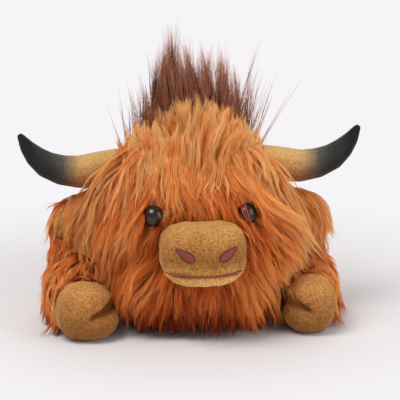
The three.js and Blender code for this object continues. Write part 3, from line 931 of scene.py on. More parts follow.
    def grow(self, roots: Points, normals: Points, over: Surface) -> "Strands":
        """Grows the strands of every lock.

        Args:
            roots: Places of the locks.
            normals: Normals of the backing there.
            over: Everything that the locks lie over.

        Returns:
            The strands.
        """
        guide, tone = self.guides(roots, normals, over)
        dice = np.random.default_rng(self.seed + 2)
        locks, per = len(guide), self.strands
        total = locks * per
        first = unit(np.cross(normals, (0.31, 0.52, 0.79)))
        second = np.cross(normals, first)
        angle = dice.uniform(0, 2 * math.pi, (locks, per))
        reach = self.lock_width / 2 * np.sqrt(dice.random((locks, per)))
        reach *= dice.uniform(0.6, 1.5, (locks, 1))
        offset = (
            first[:, None] * (np.cos(angle) * reach)[..., None]
            + second[:, None] * (np.sin(angle) * reach)[..., None]
        )
        share = np.linspace(0, 1, self.steps + 1)
        cut = dice.uniform(0.72, 1.0, (locks, per)) * self.trimmed(guide, dice)[:, None]
        line = followed(guide, share, cut)
        draw = 1 - self.clump * share**1.3
        line += offset[:, :, None] * draw[None, None, :, None]
        loose = dice.normal(0, 0.5, (locks, per, 3))
        strays = dice.random((locks, per)) < self.stray
        loose[strays] *= 6
        line += loose[:, :, None] * (share**1.8)[None, None, :, None]
        ripple = dice.normal(0, 0.12, (locks, per, self.steps + 1, 3))
        ripple[:, :, 0] = 0
        line += ripple
        line[..., 2] = np.maximum(line[..., 2], self.FLOOR)
        shade = tone[:, None] + dice.normal(0, 0.12, (locks, per))
        # Painted shade: each strand is darker toward its root, deep in the pile, and lighter toward
        # its tip.
        along = shade[..., None] + np.interp(share, (0, 0.3, 1), (-0.6, 0.0, 0.3))
        # Painted shade: the pile darkens toward the floor, from 12 mm above the hem down, where the
        # toy's shadow falls.
        along -= 1.1 * np.clip(1 - line[..., 2] / (self.hem + 12), 0, 1)
        width = self.thickness / 2 * dice.uniform(0.75, 1.2, (locks, per))
        taper = np.interp(share, (0, 0.5, 0.8, 1), (1, 0.95, 0.6, 0.12))
        return Strands(
            line.reshape(total, self.steps + 1, 3), np.repeat(normals, per, axis=0),
            (width[..., None] * taper).reshape(total, self.steps + 1),
            tint_of(self.palette, along.reshape(total, self.steps + 1)),
        )


@dataclass
class Strands:
    """Strands of pile as lines of points.

    Attributes:
        lines: Strands by points by three, in millimetres.
        facing: One direction to a strand that its sides are set by.
        widths: Half widths, strands by points.
        tints: Linear colours, strands by points by three.
    """

    lines: Points
    facing: Points
    widths: Points
    tints: Points

    SIDES = 3
    MOST_TRIANGLES = 195_000

    def shared_out(self, name: str) -> list[tuple[str, "Strands"]]:
        """Shares the strands out from side to side over pieces that aren't too heavy.

        Args:
            name: What the pieces' names begin with.

        Returns:
            The name and the strands of each piece.
        """
        count, rings, _ = self.lines.shape
        triangles = 2 * self.SIDES * (rings - 1) + 2
        pieces = math.ceil(count * triangles / self.MOST_TRIANGLES)
        if pieces == 1:
            return [(name, self)]
        order = np.argsort(self.lines[:, 0, 0])
        return [
            (f"{name}_{number}", self.part(chosen))
            for number, chosen in enumerate(np.array_split(order, pieces), start=1)
        ]

    def part(self, chosen: Points) -> "Strands":
        """Returns the chosen strands."""
        return Strands(
            self.lines[chosen], self.facing[chosen], self.widths[chosen], self.tints[chosen]
        )

    def mesh(self, name: str) -> Mesh:
        """Makes the strands into one mesh of closed, tapered three-sided fibres.

        Args:
            name: The mesh's name.

        Returns:
            The mesh, with the fibres' tints and their places in the bake map.
        """
        sides, (count, rings, _) = self.SIDES, self.lines.shape
        along = unit(np.gradient(self.lines, axis=1))
        across = unit(np.cross(along, self.facing[:, None]) + 1e-9)
        out = np.cross(across, along)
        turn = np.arange(sides)[:, None] * 2 * math.pi / sides
        around = across[:, :, None] * np.cos(turn) + out[:, :, None] * np.sin(turn)
        points = self.lines[:, :, None] + around * self.widths[:, :, None, None]
        starts = np.arange(count)[:, None] * rings * sides
        here = starts[:, None] + np.arange(rings - 1)[:, None] * sides
        side = np.arange(sides)
        beside = (side + 1) % sides
        corners = (here + side, here + beside, here + sides + beside, here + sides + side)
        quads = np.stack(corners, axis=-1).reshape(-1, 4)
        tips = starts + (rings - 1) * sides
        caps = np.vstack([starts + [[2, 1, 0]], tips + [[0, 1, 2]]])
        mesh = bpy.data.meshes.new(name)
        mesh.vertices.add(points.size // 3)
        mesh.vertices.foreach_set("co", (points * MM).astype(np.float32).ravel())
        corners = np.concatenate([quads.ravel(), caps.ravel()])
        mesh.loops.add(len(corners))
        mesh.loops.foreach_set("vertex_index", corners.astype(np.int32))
        begins = [np.arange(len(quads)) * 4, quads.size + np.arange(len(caps)) * sides]
        begins = np.concatenate(begins)
        mesh.polygons.add(len(begins))
        mesh.polygons.foreach_set("loop_start", begins.astype(np.int32))
        mesh.update(calc_edges=True)
        colours = np.ones((count, rings, sides, 4), np.float32)
        colours[..., :3] = self.tints[:, :, None]
        tint = mesh.attributes.new(TINT, "FLOAT_COLOR", "POINT")
        tint.data.foreach_set("color", colours.ravel())
        self.lay_bake_map(mesh, count, rings)
        return mesh

    def lay_bake_map(self, mesh: Mesh, count: int, rings: int) -> None:
        """Gives each strand a cell of its own in a square map, without overlaps.

        Args:
            mesh: The strands' mesh.
            count: How many strands it has.
            rings: Rings of points on a strand.
        """
        sides = self.SIDES
        across = math.ceil(math.sqrt(count))
        cell = np.stack([np.arange(count) % across, np.arange(count) // across], axis=-1)
        margin, body = 0.06, 0.76
        grid_u = margin + np.arange(sides + 1) / sides * (1 - 2 * margin)
        grid_v = (0.5 - body / 2 + np.arange(rings) / (rings - 1) * body)[:, None]
        (left, right), (low, high) = (grid_u[:-1], grid_u[1:]), (grid_v[:-1], grid_v[1:])
        corners = ((left, low), (right, low), (right, high), (left, high))
        quad = np.stack([np.stack(np.broadcast_arrays(*uv), -1) for uv in corners], axis=2)
        quads = (quad[None] + cell[:, None, None, None]) / across
        root = np.array([[0.2, 0.01], [0.8, 0.01], [0.5, 0.1]])
        caps = [(corner[None] + cell[:, None]) / across for corner in (root, 1 - root)]
        flat = np.concatenate([quads.ravel(), caps[0].ravel(), caps[1].ravel()])
        layer = mesh.uv_layers.new(name=BAKE_MAP)
        layer.uv.foreach_set("vector", flat.astype(np.float32))


# Furred covers


def drawn_in(name: str, nodes: tuple[str, ...], inset: float, voxel: float, rounds: int) -> Mesh:
    """Makes the backing that lies under a coat, by drawing a CAD form in.

    Args:
        name: Name of the new mesh.
        nodes: CAD nodes of the coat and its filling.
        inset: How far the backing lies inside the coat, in millimetres.
        voxel: Size of its faces, in millimetres.
        rounds: How often it is smoothed.

    Returns:
        A closed mesh, drawn in less underneath, where the pile is pressed flat.
    """
    mesh = softened(name, nodes, voxel, rounds)
    normals = read_normals(mesh)
    under = np.clip(-normals[:, 2] * 2 - 0.6, 0, 1)[:, None]
    write_points(mesh, read_points(mesh) - normals * inset * (1 - 0.65 * under))
    return mesh


def box_mm(*nodes: str) -> tuple[Points, Points]:
    """Returns the lowest and highest corners of some CAD nodes, in millimetres."""
    corners = [np.array(corner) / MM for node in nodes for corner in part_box(node)]
    return np.min(corners, axis=0), np.max(corners, axis=0)


def everywhere(places: Points, normals: Points) -> Points:
    """Returns a full share of pile for every place."""
    return np.ones(len(places))


def thin_below(places: Points, normals: Points) -> Points:
    """Returns less pile underneath, where the toy lies on it."""
    return np.where(normals[:, 2] < -0.8, 0.35, 1.0)


@dataclass
class Window:
    """A place that the pile is brushed clear of, so that what is there can be seen.

    Attributes:
        centre: Its centre in millimetres.
        half: Its half width and half height.
        way: The direction from which it is seen.
        leave: Share of strands that fall across it all the same.
    """

    centre: tuple[float, float, float]
    half: tuple[float, float]
    way: tuple[float, float, float] = (-0.1, -0.97, 0.2)
    leave: float = 0.0

    def across(self, lines: Points) -> Points:
        """Tells which strands pass in front of it.

        Args:
            lines: The strands' lines.

        Returns:
            Whether each strand does.
        """
        way = unit(np.array(self.way))
        side = unit(np.cross(way, (0.0, 0.0, 1.0)))
        up = np.cross(side, way)
        gap = lines - np.array(self.centre)
        shares = ((gap @ side) / self.half[0]) ** 2 + ((gap @ up) / self.half[1]) ** 2
        return ((shares < 1) & (gap @ way > -2)).any(axis=1)


@dataclass
class Layer:
    """One layer of a cover's pile.

    Attributes:
        name: What its pieces are named for.
        coat: How it is combed and coloured.
        locks: How many locks are tried.
        share: Gives each place's share of pile.
        regions: Name endings of its pieces, each with a test of a lock's root.
    """

    name: str
    coat: Coat
    locks: int
    share: Callable[[Points, Points], Points] = everywhere
    regions: dict[str, Callable[[Points], Points]] = field(default_factory=dict)


@dataclass
class Cover:
    """A sewn cover with its backing and its long pile.

    Attributes:
        name: The cover's name.
        body: The body that it rides on.
        nodes: CAD nodes that it stands for.
        inset: How deep the backing lies in the coat, in millimetres.
        voxel: Size of the backing's faces, in millimetres.
        rounds: How often the backing is smoothed.
        brown: Whether it is cut from the brown pile.
        windows: Places that the pile is brushed clear of.
        APART: How far out of another cover a root has to be, in millimetres.
    """

    name: str = ""
    body: str = ""
    nodes: tuple[str, ...] = ()
    inset: float = 7
    voxel: float = 2.4
    rounds: int = 6
    brown: bool = False
    windows: list[Window] = field(default_factory=list)

    APART = 0.6

    def __post_init__(self) -> None:
        """Shapes the backing and takes the measure of the CAD form."""
        name = f"{self.name}_backing"
        self.mesh = drawn_in(name, self.nodes, self.inset, self.voxel, self.rounds)
        self.skin = Surface([self.mesh])
        self.low, self.high = box_mm(self.nodes[0])

    def layers(self) -> list[Layer]:
        """Returns the layers of its pile."""
        return []

    def coat(self, combings: list[Combing], **sizes: float) -> Coat:
        """Returns a coat that is combed and dyed for this cover."""
        return Coat(self.low, self.high, combings, BROWN if self.brown else GINGER, **sizes)

    def build(self, workshop: "Workshop") -> None:
        """Adds the backing and the pile to the scene.

        Args:
            workshop: Holds what the pieces share.
        """
        knit, pile = (BROWN_BACKING, BROWN_PILE) if self.brown else (GINGER_BACKING, GINGER_PILE)
        slot = "long_pile_brown" if self.brown else "long_pile_ginger"
        name = f"{self.name}_backing"
        workshop.add(name, self.mesh, knit, self.body, slot, *self.nodes, fill=0.7)
        others = [cover.skin for cover in workshop.covers if cover.body != self.body]
        for layer in self.layers():
            for name, strands in self.grow(layer, workshop.over, others):
                workshop.add(name, strands.mesh(name), pile, self.body, slot)

    def grow(self, layer: Layer, over: Surface, others: list[Surface]) -> list[tuple[str, Strands]]:
        """Grows one layer of pile.

        Args:
            layer: The layer.
            over: Everything that the pile lies over.
            others: Surfaces of the other covers, inside which nothing grows.

        Returns:
            The name and the strands of each piece.
        """
        dice = np.random.default_rng(layer.coat.seed)

        def share(places: Points, normals: Points) -> Points:
            """Leaves bare what other covers hide."""
            kept = layer.share(places, normals)
            for other in others:
                kept = kept * other.outside(places, self.APART)
            return kept

        count = int(layer.locks * (1))
        roots, normals = self.skin.scatter(count, dice, share)
        strands = layer.coat.grow(roots, normals, over)
        kept = np.ones(len(strands.lines), bool)
        for window in self.windows:
            left = dice.random(len(kept)) < window.leave
            kept &= left | ~window.across(strands.lines)
        owner = strands.lines[:, 0]
        found = []
        for ending, inside in (layer.regions or {"": lambda p: p[:, 2] > -np.inf}).items():
            chosen = kept & inside(owner)
            kept &= ~chosen
            if chosen.any():
                found += strands.part(chosen).shared_out(f"{self.name}_{layer.name}{ending}")
        return found


@dataclass
class Head(Cover):
    """The head: forelock, cheeks and beard round the bare muzzle and the eyes."""

    name: str = "head"
    body: str = "head"
    nodes: tuple[str, ...] = ("head_cover", "head_stuffing")
    forelock_length: float = 38
    cheek_length: float = 46
    beard_length: float = 40
    peak_length: float = 36

    BACK_SHARE = 0.42

    def __post_init__(self) -> None:
        """Shapes the backing and finds where the muzzle and the eyes are."""
        super().__post_init__()
        self.muzzle_low, self.muzzle_high = box_mm("muzzle", "lower_lip")
        centre = (self.muzzle_low + self.muzzle_high) / 2
        half = (self.muzzle_high - self.muzzle_low)[[0, 2]] / 2
        self.windows = [Window((centre[0], self.low[1] - 2, centre[2]), tuple(half * 0.97))]
        for side in Side:
            middle = sum(box_mm(f"eye_{side.word}")) / 2
            shift, radii = (-2.4, (2.2, 4.7)) if side is Side.LEFT else (-0.8, (4.2, 5.8))
            spot = (middle[0] + shift, middle[1], middle[2] - 1.5)
            self.windows.append(Window(spot, radii, leave=0.14))
            low, high = box_mm(f"front_hoof_{side.word}")
            middle, half = (low + high) / 2, (high - low) / 2
            self.windows.append(Window(tuple(middle), (half[0] * 0.9, half[2] * 0.9), leave=0.05))

    def combings(self) -> list[Combing]:
        """Returns how the head is combed, first the sides alike and then the rest."""
        long, cheek, beard = self.forelock_length, self.cheek_length, self.beard_length
        # The tones paint light and shade: lighter on the forehead's top and the left cheek, where
        # the light falls, and darker round the eyes, between the brow and the muzzle, under the
        # chin and at the beard's foot.
        sides = both(
            ((0.4, -0.4, 0.93), (0.12, -0.6, -0.7), 44, 0.45, 0.5, 5),
            ((0.7, -0.35, 0.8), (0.55, -0.5, -0.5), 43, 0.8, 0.65, 13),
            ((0.88, -0.15, 0.65), (0.8, -0.5, -0.3), 41, 0.9, 0.5, 15),
            ((0.78, -0.6, 0.55), (0.3, -0.3, -0.85), 42, 0.6, 0.4, 12),
            ((0.97, -0.35, 0.42), (0.4, -0.4, -0.8), 40, 0.8, 0.3, 15),
            ((0.98, 0.1, 0.6), (0.06, 0.1, -1), 36, 0.3, 0.1, 6),
            ((1.0, 0.0, 0.15), (0.2, -0.1, -0.95), 42, 0.35, 0.1, 7),
            ((0.5, -0.95, 0.48), (0.15, -0.3, -0.95), 34, 0.7, 0, 19),
            ((0.55, -0.85, 0.2), (0.35, -0.3, -0.85), 24, 0.5, -0.8, 12),
            ((0.5, -0.98, -0.1), (0.9, -0.3, -0.35), 34, 0.4, 0.05, 7),
            ((0.55, -0.98, -0.35), (0.65, -0.35, -0.7), 38, 0.4, 0.05, 8),
            ((0.85, -0.75, -0.45), (0.5, -0.1, -0.85), cheek, 0.45, 0.1, 9),
            ((1.0, -0.2, -0.5), (0.3, 0, -0.95), cheek, 0.35, 0, 7),
            ((0.4, -0.95, -0.65), (0.15, -0.2, -1), beard, 0.35, -0.35, 8),
            ((0.4, -0.85, -0.9), (0.1, -0.2, -1), 0.6 * beard, 0.3, -1.3, 6),
            ((0.75, -0.8, -0.8), (0.2, -0.15, -0.95), beard, 0.35, -0.3, 8),
            ((0.9, 0.5, 0.3), (0.4, 0.4, -0.8), 42, 0.4, 0, 8),
            ((0.7, 0.7, -0.4), (0.3, 0.4, -0.9), 38, 0.35, -0.1, 7),
        )
        rest = (
            ((0.0, -0.45, 0.98), (0.05, -0.75, -0.5), 44, 0.5, 0.4, 3),
            ((0.0, -0.7, 0.85), (0.1, -0.45, -0.9), long, 0.35, 0.35, 4),
            ((-0.5, -0.8, 0.62), (0.02, -0.2, -1), 48, 0.4, 0.15, 9),
            ((-0.2, -0.88, 0.58), (0.15, -0.25, -1), 46, 0.4, -0.45, 8),
            ((0.2, -0.88, 0.55), (0.42, -0.25, -0.85), 46, 0.4, -0.5, 8),
            ((0.55, -0.8, 0.5), (0.7, -0.2, -0.65), 48, 0.45, 0.15, 8),
            ((-0.25, -0.98, 0.3), (0.3, -0.15, -0.95), 28, 0.3, -0.85, 5),
            ((0.0, -0.98, 0.3), (0.5, -0.15, -0.85), 28, 0.3, -0.9, 5),
            ((0.25, -0.98, 0.3), (0.5, -0.15, -0.8), 28, 0.3, -0.75, 5),
            ((0.4, -0.9, 0.3), (0.15, -0.3, -0.95), 28, 0.75, -0.1, 18),
            ((-0.68, -0.9, 0.2), (-0.5, -0.3, -0.75), 40, 0.45, 0.1, 9),
            ((-0.75, -0.85, 0.0), (-0.7, -0.25, -0.5), 44, 0.45, 0.15, 9),
            ((0.62, -0.92, 0.28), (0.9, -0.3, 0.35), 48, 0.5, 0.4, 8),
            ((0.85, -0.75, 0.3), (0.95, -0.15, 0.1), 50, 0.5, 0.6, 9),
            ((0.8, -0.8, 0.05), (0.95, -0.2, -0.2), 50, 0.5, 0.55, 9),
            ((0.98, -0.4, 0.2), (0.95, 0.0, -0.4), 54, 0.5, 0.75, 8),
            ((0.98, -0.5, -0.1), (0.65, 0.0, -0.75), 46, 0.4, 0.5, 8),
            ((0.7, -0.85, -0.3), (0.6, -0.2, -0.75), 44, 0.4, 0.65, 9),
            ((-0.98, -0.5, 0.0), (-0.3, -0.1, -0.95), 44, 0.35, -0.1, 7),
            ((0, -1, -0.6), (0, -0.25, -1), 30, 0.35, -0.25, 7),
            ((0, -0.95, -0.85), (0, -0.2, -1), 0.7 * beard, 0.3, -1.1, 6),
            ((0, 0.35, 1), (0, 0.8, 0.2), 44, 0.6, 0.1, 9),
            ((0, 0.9, 0.5), (0, 0.5, -0.8), 42, 0.4, 0, 7),
            ((0, 0.9, -0.2), (0, 0.4, -0.9), 36, 0.35, -0.1, 7),
            ((0, -0.3, -1), (0, -0.5, -0.3), 10, 0.2, -1.2, 2),
        )
        return sides + [Combing(*row) for row in rest]

    def seat(self, places: Points, normals: Points) -> Points:
        """Leaves bare the muzzle's seat, and the back thinner than the face.

        Args:
            places: Places on the backing.
            normals: The normals there.

        Returns:
            Each place's share of hair.
        """
        middle = (self.muzzle_low + self.muzzle_high) / 2
        half = (self.muzzle_high - self.muzzle_low) / 2
        gap = ((places - middle)[:, (0, 2)] / (half[[0, 2]] * 0.9)) ** 2
        share = np.where((gap.sum(1) > 1) | (places[:, 1] > self.muzzle_high[1]), 1.0, 0.0)
        thinned = np.where(normals[:, 1] > 0.3, self.BACK_SHARE, 1)
        return share * thinned * thin_below(places, normals)

    def crown(self, places: Points, normals: Points) -> Points:
        """Keeps to the forehead before the crest, fewer farther down and to the sides."""
        crest = sum(box_mm("crest"))[1] / 2
        top = self.high[2] - self.inset
        share = np.clip((places[:, 2] - top + 46) / 44, 0, 1) * (places[:, 1] < crest - 3)
        return share * np.clip(1.1 - ((places[:, 0] + 4) / 59) ** 2, 0, 1)

    def face(self, places: Points, normals: Points) -> Points:
        """Keeps to the front and the sides."""
        return (normals[:, 1] < 0.2) * self.seat(places, normals)

    def layers(self) -> list[Layer]:
        """Returns the coat, the upright peaks before the crest and the stray wisps."""
        middle, half = (self.low + self.high) / 2, (self.high - self.low) / 2
        combings, peak = self.combings(), self.peak_length
        coat = self.coat(
            combings, strands=14, thickness=0.38, steps=8, hem=13, wave=1.9, wander=0.34,
            clump=0.8, uneven=0.34, seed=11,
        )
        # The peaks are toned lighter: partly the pile's paler tips, partly painted light on the
        # forehead's top.
        upright = [
            Combing((0.06, -0.4, 1), (0, -0.05, 1), 0.9 * peak, 0.95, 0.65, 6),
            Combing((0, -0.78, 0.7), (0, 0.25, 1), peak, 0.6, 0.5, 8),
            Combing((-0.26, -0.4, 1), (0.05, -0.05, 1), 0.34 * peak, 0.9, 0.6, 6),
            Combing((0.36, -0.4, 1), (0.05, -0.05, 1), 0.4 * peak, 0.9, 0.6, 6),
        ] + both(
            ((0.75, -0.35, 0.9), (0.1, 0.0, 1), 0.42 * peak, 0.9, 0.85, 5),
            ((0.5, -0.4, 0.97), (0.05, -0.05, 1), 0.33 * peak, 0.9, 0.7, 6),
            ((0.4, -0.75, 0.7), (0.06, 0.25, 1), 0.5 * peak, 0.6, 0.55, 8),
        )
        peaks = self.coat(
            upright, strands=14, thickness=0.36, steps=6, fall=0.0, wave=1.2, wander=0.3,
            uneven=0.5, seed=12,
        )
        loose = [
            Combing(c.at, c.way, c.length * 1.2, c.lift * 1.2, c.tone + 0.35, c.loft * 1.5)
            for c in combings
        ]
        wisps = self.coat(
            loose, lock_width=3, strands=4, clump=0.8, thickness=0.28, wave=2.2, stray=0.3,
            steps=8, hem=8, seed=13,
        )
        brow = middle[2] + 0.28 * half[2]
        regions = {
            "_nape": lambda p: p[:, 1] > middle[1] + 0.25 * half[1],
            "_forelock": lambda p: p[:, 2] > brow,
            "_beard": lambda p: (p[:, 2] < 45) & (np.abs(p[:, 0]) < 36),
            "_cheek_left": lambda p: p[:, 0] > 0, "_cheek_right": lambda p: p[:, 0] <= 0,
        }
        return [
            Layer("pile", coat, 5100, self.seat, regions), Layer("peaks", peaks, 6900, self.crown),
            Layer("wisps", wisps, 400, self.face),
        ]


@dataclass
class Torso(Cover):
    """The torso, combed back from the neck and down its sides."""

    name: str = "body"
    body: str = "torso"
    nodes: tuple[str, ...] = ("body_cover", "body_stuffing", "pellet_pouch")
    pile_length: float = 42

    def share(self, places: Points, normals: Points) -> Points:
        """Leaves the neck inside the head bare."""
        return thin_below(places, normals) * (places[:, 1] > self.low[1] + 12)

    def layers(self) -> list[Layer]:
        """Returns the coat."""
        long = self.pile_length
        combings = [
            Combing((0, -0.6, 1), (0, 1, 0.1), long, 0.35, 0.1, 8),
            Combing((0, 0.2, 1), (0, 1, -0.1), long, 0.35, 0.1, 8),
            Combing((0, 0.9, 0.4), (0, 0.5, -0.9), long, 0.35, 0, 8),
            Combing((0, 0.9, -0.5), (0, 0.4, -1), 0.7 * long, 0.3, -0.2, 6),
            # Painted shade: the underside is toned darker.
            Combing((0, 0, -1), (0, 0.6, -0.1), 12, 0.15, -0.5, 2),
        ] + both(
            ((0.9, -0.4, 0.2), (0.4, 0.6, -0.7), long, 0.35, 0, 8),
            ((0.95, 0.3, 0), (0.4, 0.5, -0.8), long, 0.35, 0, 8),
            ((0.6, 0.1, 0.75), (0.45, 0.8, -0.3), long, 0.35, 0.1, 8),
            ((0.7, 0.75, 0), (0.4, 0.6, -0.8), long, 0.35, -0.1, 8),
        )
        coat = self.coat(combings, lock_width=6, thickness=0.5, hem=2, seed=23)
        return [Layer("pile", coat, 1300, self.share)]


class Limb(Enum):
    """A pair of legs, with the name of the body that each rides on."""

    FRONT = "foreleg"
    HIND = "hind_leg"

    @property
    def word(self) -> str:
        """The pair's name as pieces carry it."""
        return self.name.lower()


@dataclass
class Leg(Cover):
    """A leg, combed outward and down toward its hoof."""

    inset: float = 6
    side: Side = Side.LEFT
    limb: Limb = Limb.FRONT
    pile_length: float = 24

    def __post_init__(self) -> None:
        """Names the leg for its side and shapes its backing."""
        self.name = f"{self.limb.word}_leg_{self.side.word}"
        self.body, self.nodes = f"{self.side.word}_{self.limb.value}", (self.name,)
        super().__post_init__()
        low, high = box_mm(f"{self.limb.word}_hoof_{self.side.word}")
        middle, half = (low + high) / 2, (high - low) / 2
        way = (0.0, -1.0 if self.limb is Limb.FRONT else 1.0, 0.25)
        self.windows = [Window(tuple(middle), (half[0] * 0.92, half[2] * 0.92), way, 0.04)]

    def layers(self) -> list[Layer]:
        """Returns the coat."""
        s, long = self.side.value, self.pile_length
        ahead = -1 if self.limb is Limb.FRONT else 1
        combings = []
        # The tones paint light and shade: the outer side lighter, the inner side, in the head's
        # shade, and the underside darker.
        for along in (-1, 0, 1):
            loft = 3 if along == ahead else 7
            combings += [
                Combing((0, along, 1), (0.2 * s, 0.75 * ahead, -0.2), 0.9 * long, 0.3, 0.2, loft),
                Combing((s, along, 0), (0.2 * s, 0.45 * ahead, -0.8), long, 0.3, 0.45, 6),
                Combing((-s, along, 0), (-0.1 * s, 0.7 * ahead, -0.6), 0.8 * long, 0.3, -1.0, 4),
                Combing((0, along, -1), (0.3 * s, 0.4 * ahead, -0.1), 14, 0.15, -0.6, 3),
            ]
        seed = 31 + 2 * s + (7 if self.limb is Limb.HIND else 0)
        locks = 820 if self.limb is Limb.FRONT else 480
        return [Layer("pile", self.coat(combings, hem=1.5, seed=seed), locks, thin_below)]


@dataclass
class Ear(Cover):
    """An ear, whose pile falls from its upper edge and hangs off its tip."""

    inset: float = 1.2
    voxel: float = 1.6
    side: Side = Side.LEFT
    pile_length: float = 25
    lining_shown: float = 2

    def __post_init__(self) -> None:
        """Names the ear for its side, shapes its backing and, on the right ear, leaves some lining
        in view.
        """
        self.name = f"ear_{self.side.word}"
        self.body, self.nodes = f"{self.side.word}_ear", (self.name,)
        super().__post_init__()
        if self.side is Side.RIGHT:
            low, high = box_mm(f"ear_lining_{self.side.word}")
            spot = (low[0] + 9, low[1], low[2] + 0.42 * (high[2] - low[2]))
            self.windows = [Window(spot, (self.lining_shown, self.lining_shown * 0.8))]

    def edge(self, places: Points, normals: Points) -> Points:
        """Keeps to the upper edge."""
        return places[:, 2] > self.high[2] - 0.2 * (self.high[2] - self.low[2])

    def share(self, places: Points, normals: Points) -> Points:
        """Grows more on the front, where the pile has to hide the lining."""
        return np.where(normals[:, 1] < -0.6, 1.0, 0.8)

    def layers(self) -> list[Layer]:
        """Returns the coat and the fringe along the upper edge."""
        s, long = self.side.value, self.pile_length
        combings = [
            Combing((-0.8 * s, 0, 0.9), (0.5 * s, -0.2, -0.5), long, 0.5, 0.45, 6),
            Combing((0.2 * s, 0, 0.8), (0.35 * s, -0.2, -0.8), long, 0.45, 0.6, 5),
            Combing((0.8 * s, 0, 0), (0.05 * s, -0.1, -1), long, 0.35, 0.55, 4),
            Combing((0, 0, -0.6), (0.1 * s, -0.1, -1), long, 0.3, 0.2, 5),
            Combing((0.8 * s, 0, -0.8), (-0.05 * s, 0, -1), long, 0.3, 0.1, 4),
        ]
        over = [Combing((x, -1, 1), (0.25 * s, -0.45, -1), 32, 0.65, 0.5, 6) for x in (-1, 0, 1)]
        alike = {"strands": 10, "thickness": 0.34, "wander": 0.4, "clump": 0.8}
        coat = self.coat(
            combings, lock_width=3.5, wave=1.8, wave_length=24, uneven=0.42, seed=51 + s, **alike
        )
        fringe = self.coat(over, lock_width=4, wave=1.6, uneven=0.35, seed=57 + s, **alike)
        return [Layer("pile", coat, 640, self.share), Layer("fringe", fringe, 700, self.edge)]


@dataclass
class TailPart(Cover):
    """The tail's cord, or the long brown tuft at its end."""

    name: str = "tail"
    body: str = "tail"
    nodes: tuple[str, ...] = ("tail",)
    inset: float = 1.4
    voxel: float = 1.2
    rounds: int = 3
    pile_length: float = 20
    locks: int = 130

    def layers(self) -> list[Layer]:
        """Returns the coat, combed straight down."""
        long, down = self.pile_length, (0.0, 0.2, -1.0)
        combings = [Combing((0, 0, z), down, long, 0.3, 0, 3) for z in (-1, 0, 1)]
        coat = self.coat(combings, lock_width=2.5, strands=8, seed=61)
        return [Layer("pile", coat, self.locks)]


@dataclass
class Tuft:
    """One set of locks in the crest.

    Attributes:
        name: What its piece is called after the crest.
        feet: From where to where along the crown its locks stand, in millimetres.
        locks: Number of locks.
        strands: Strands in a lock.
        toward: Place along the crown that its tips lean to.
        gather: How far they lean there, by their height; away from it if negative.
        tone: Lightness of its strands.
        spread: Half width of a lock at its foot.
        shortest: Share of the outline's height that the shortest lock reaches.
        thickness: Width of a strand at its root.
        ahead: How far before the crest's middle it stands, among the ginger pile.
        rise: By what share its tips rise over the outline.
    """

    name: str
    feet: tuple[float, float]
    locks: int
    strands: int
    toward: float = 0.0
    gather: float = 0.0
    tone: float = 0.0
    spread: float = 4.5
    shortest: float = 0.6
    thickness: float = 0.36
    ahead: float = 0.0
    rise: float = 0.0


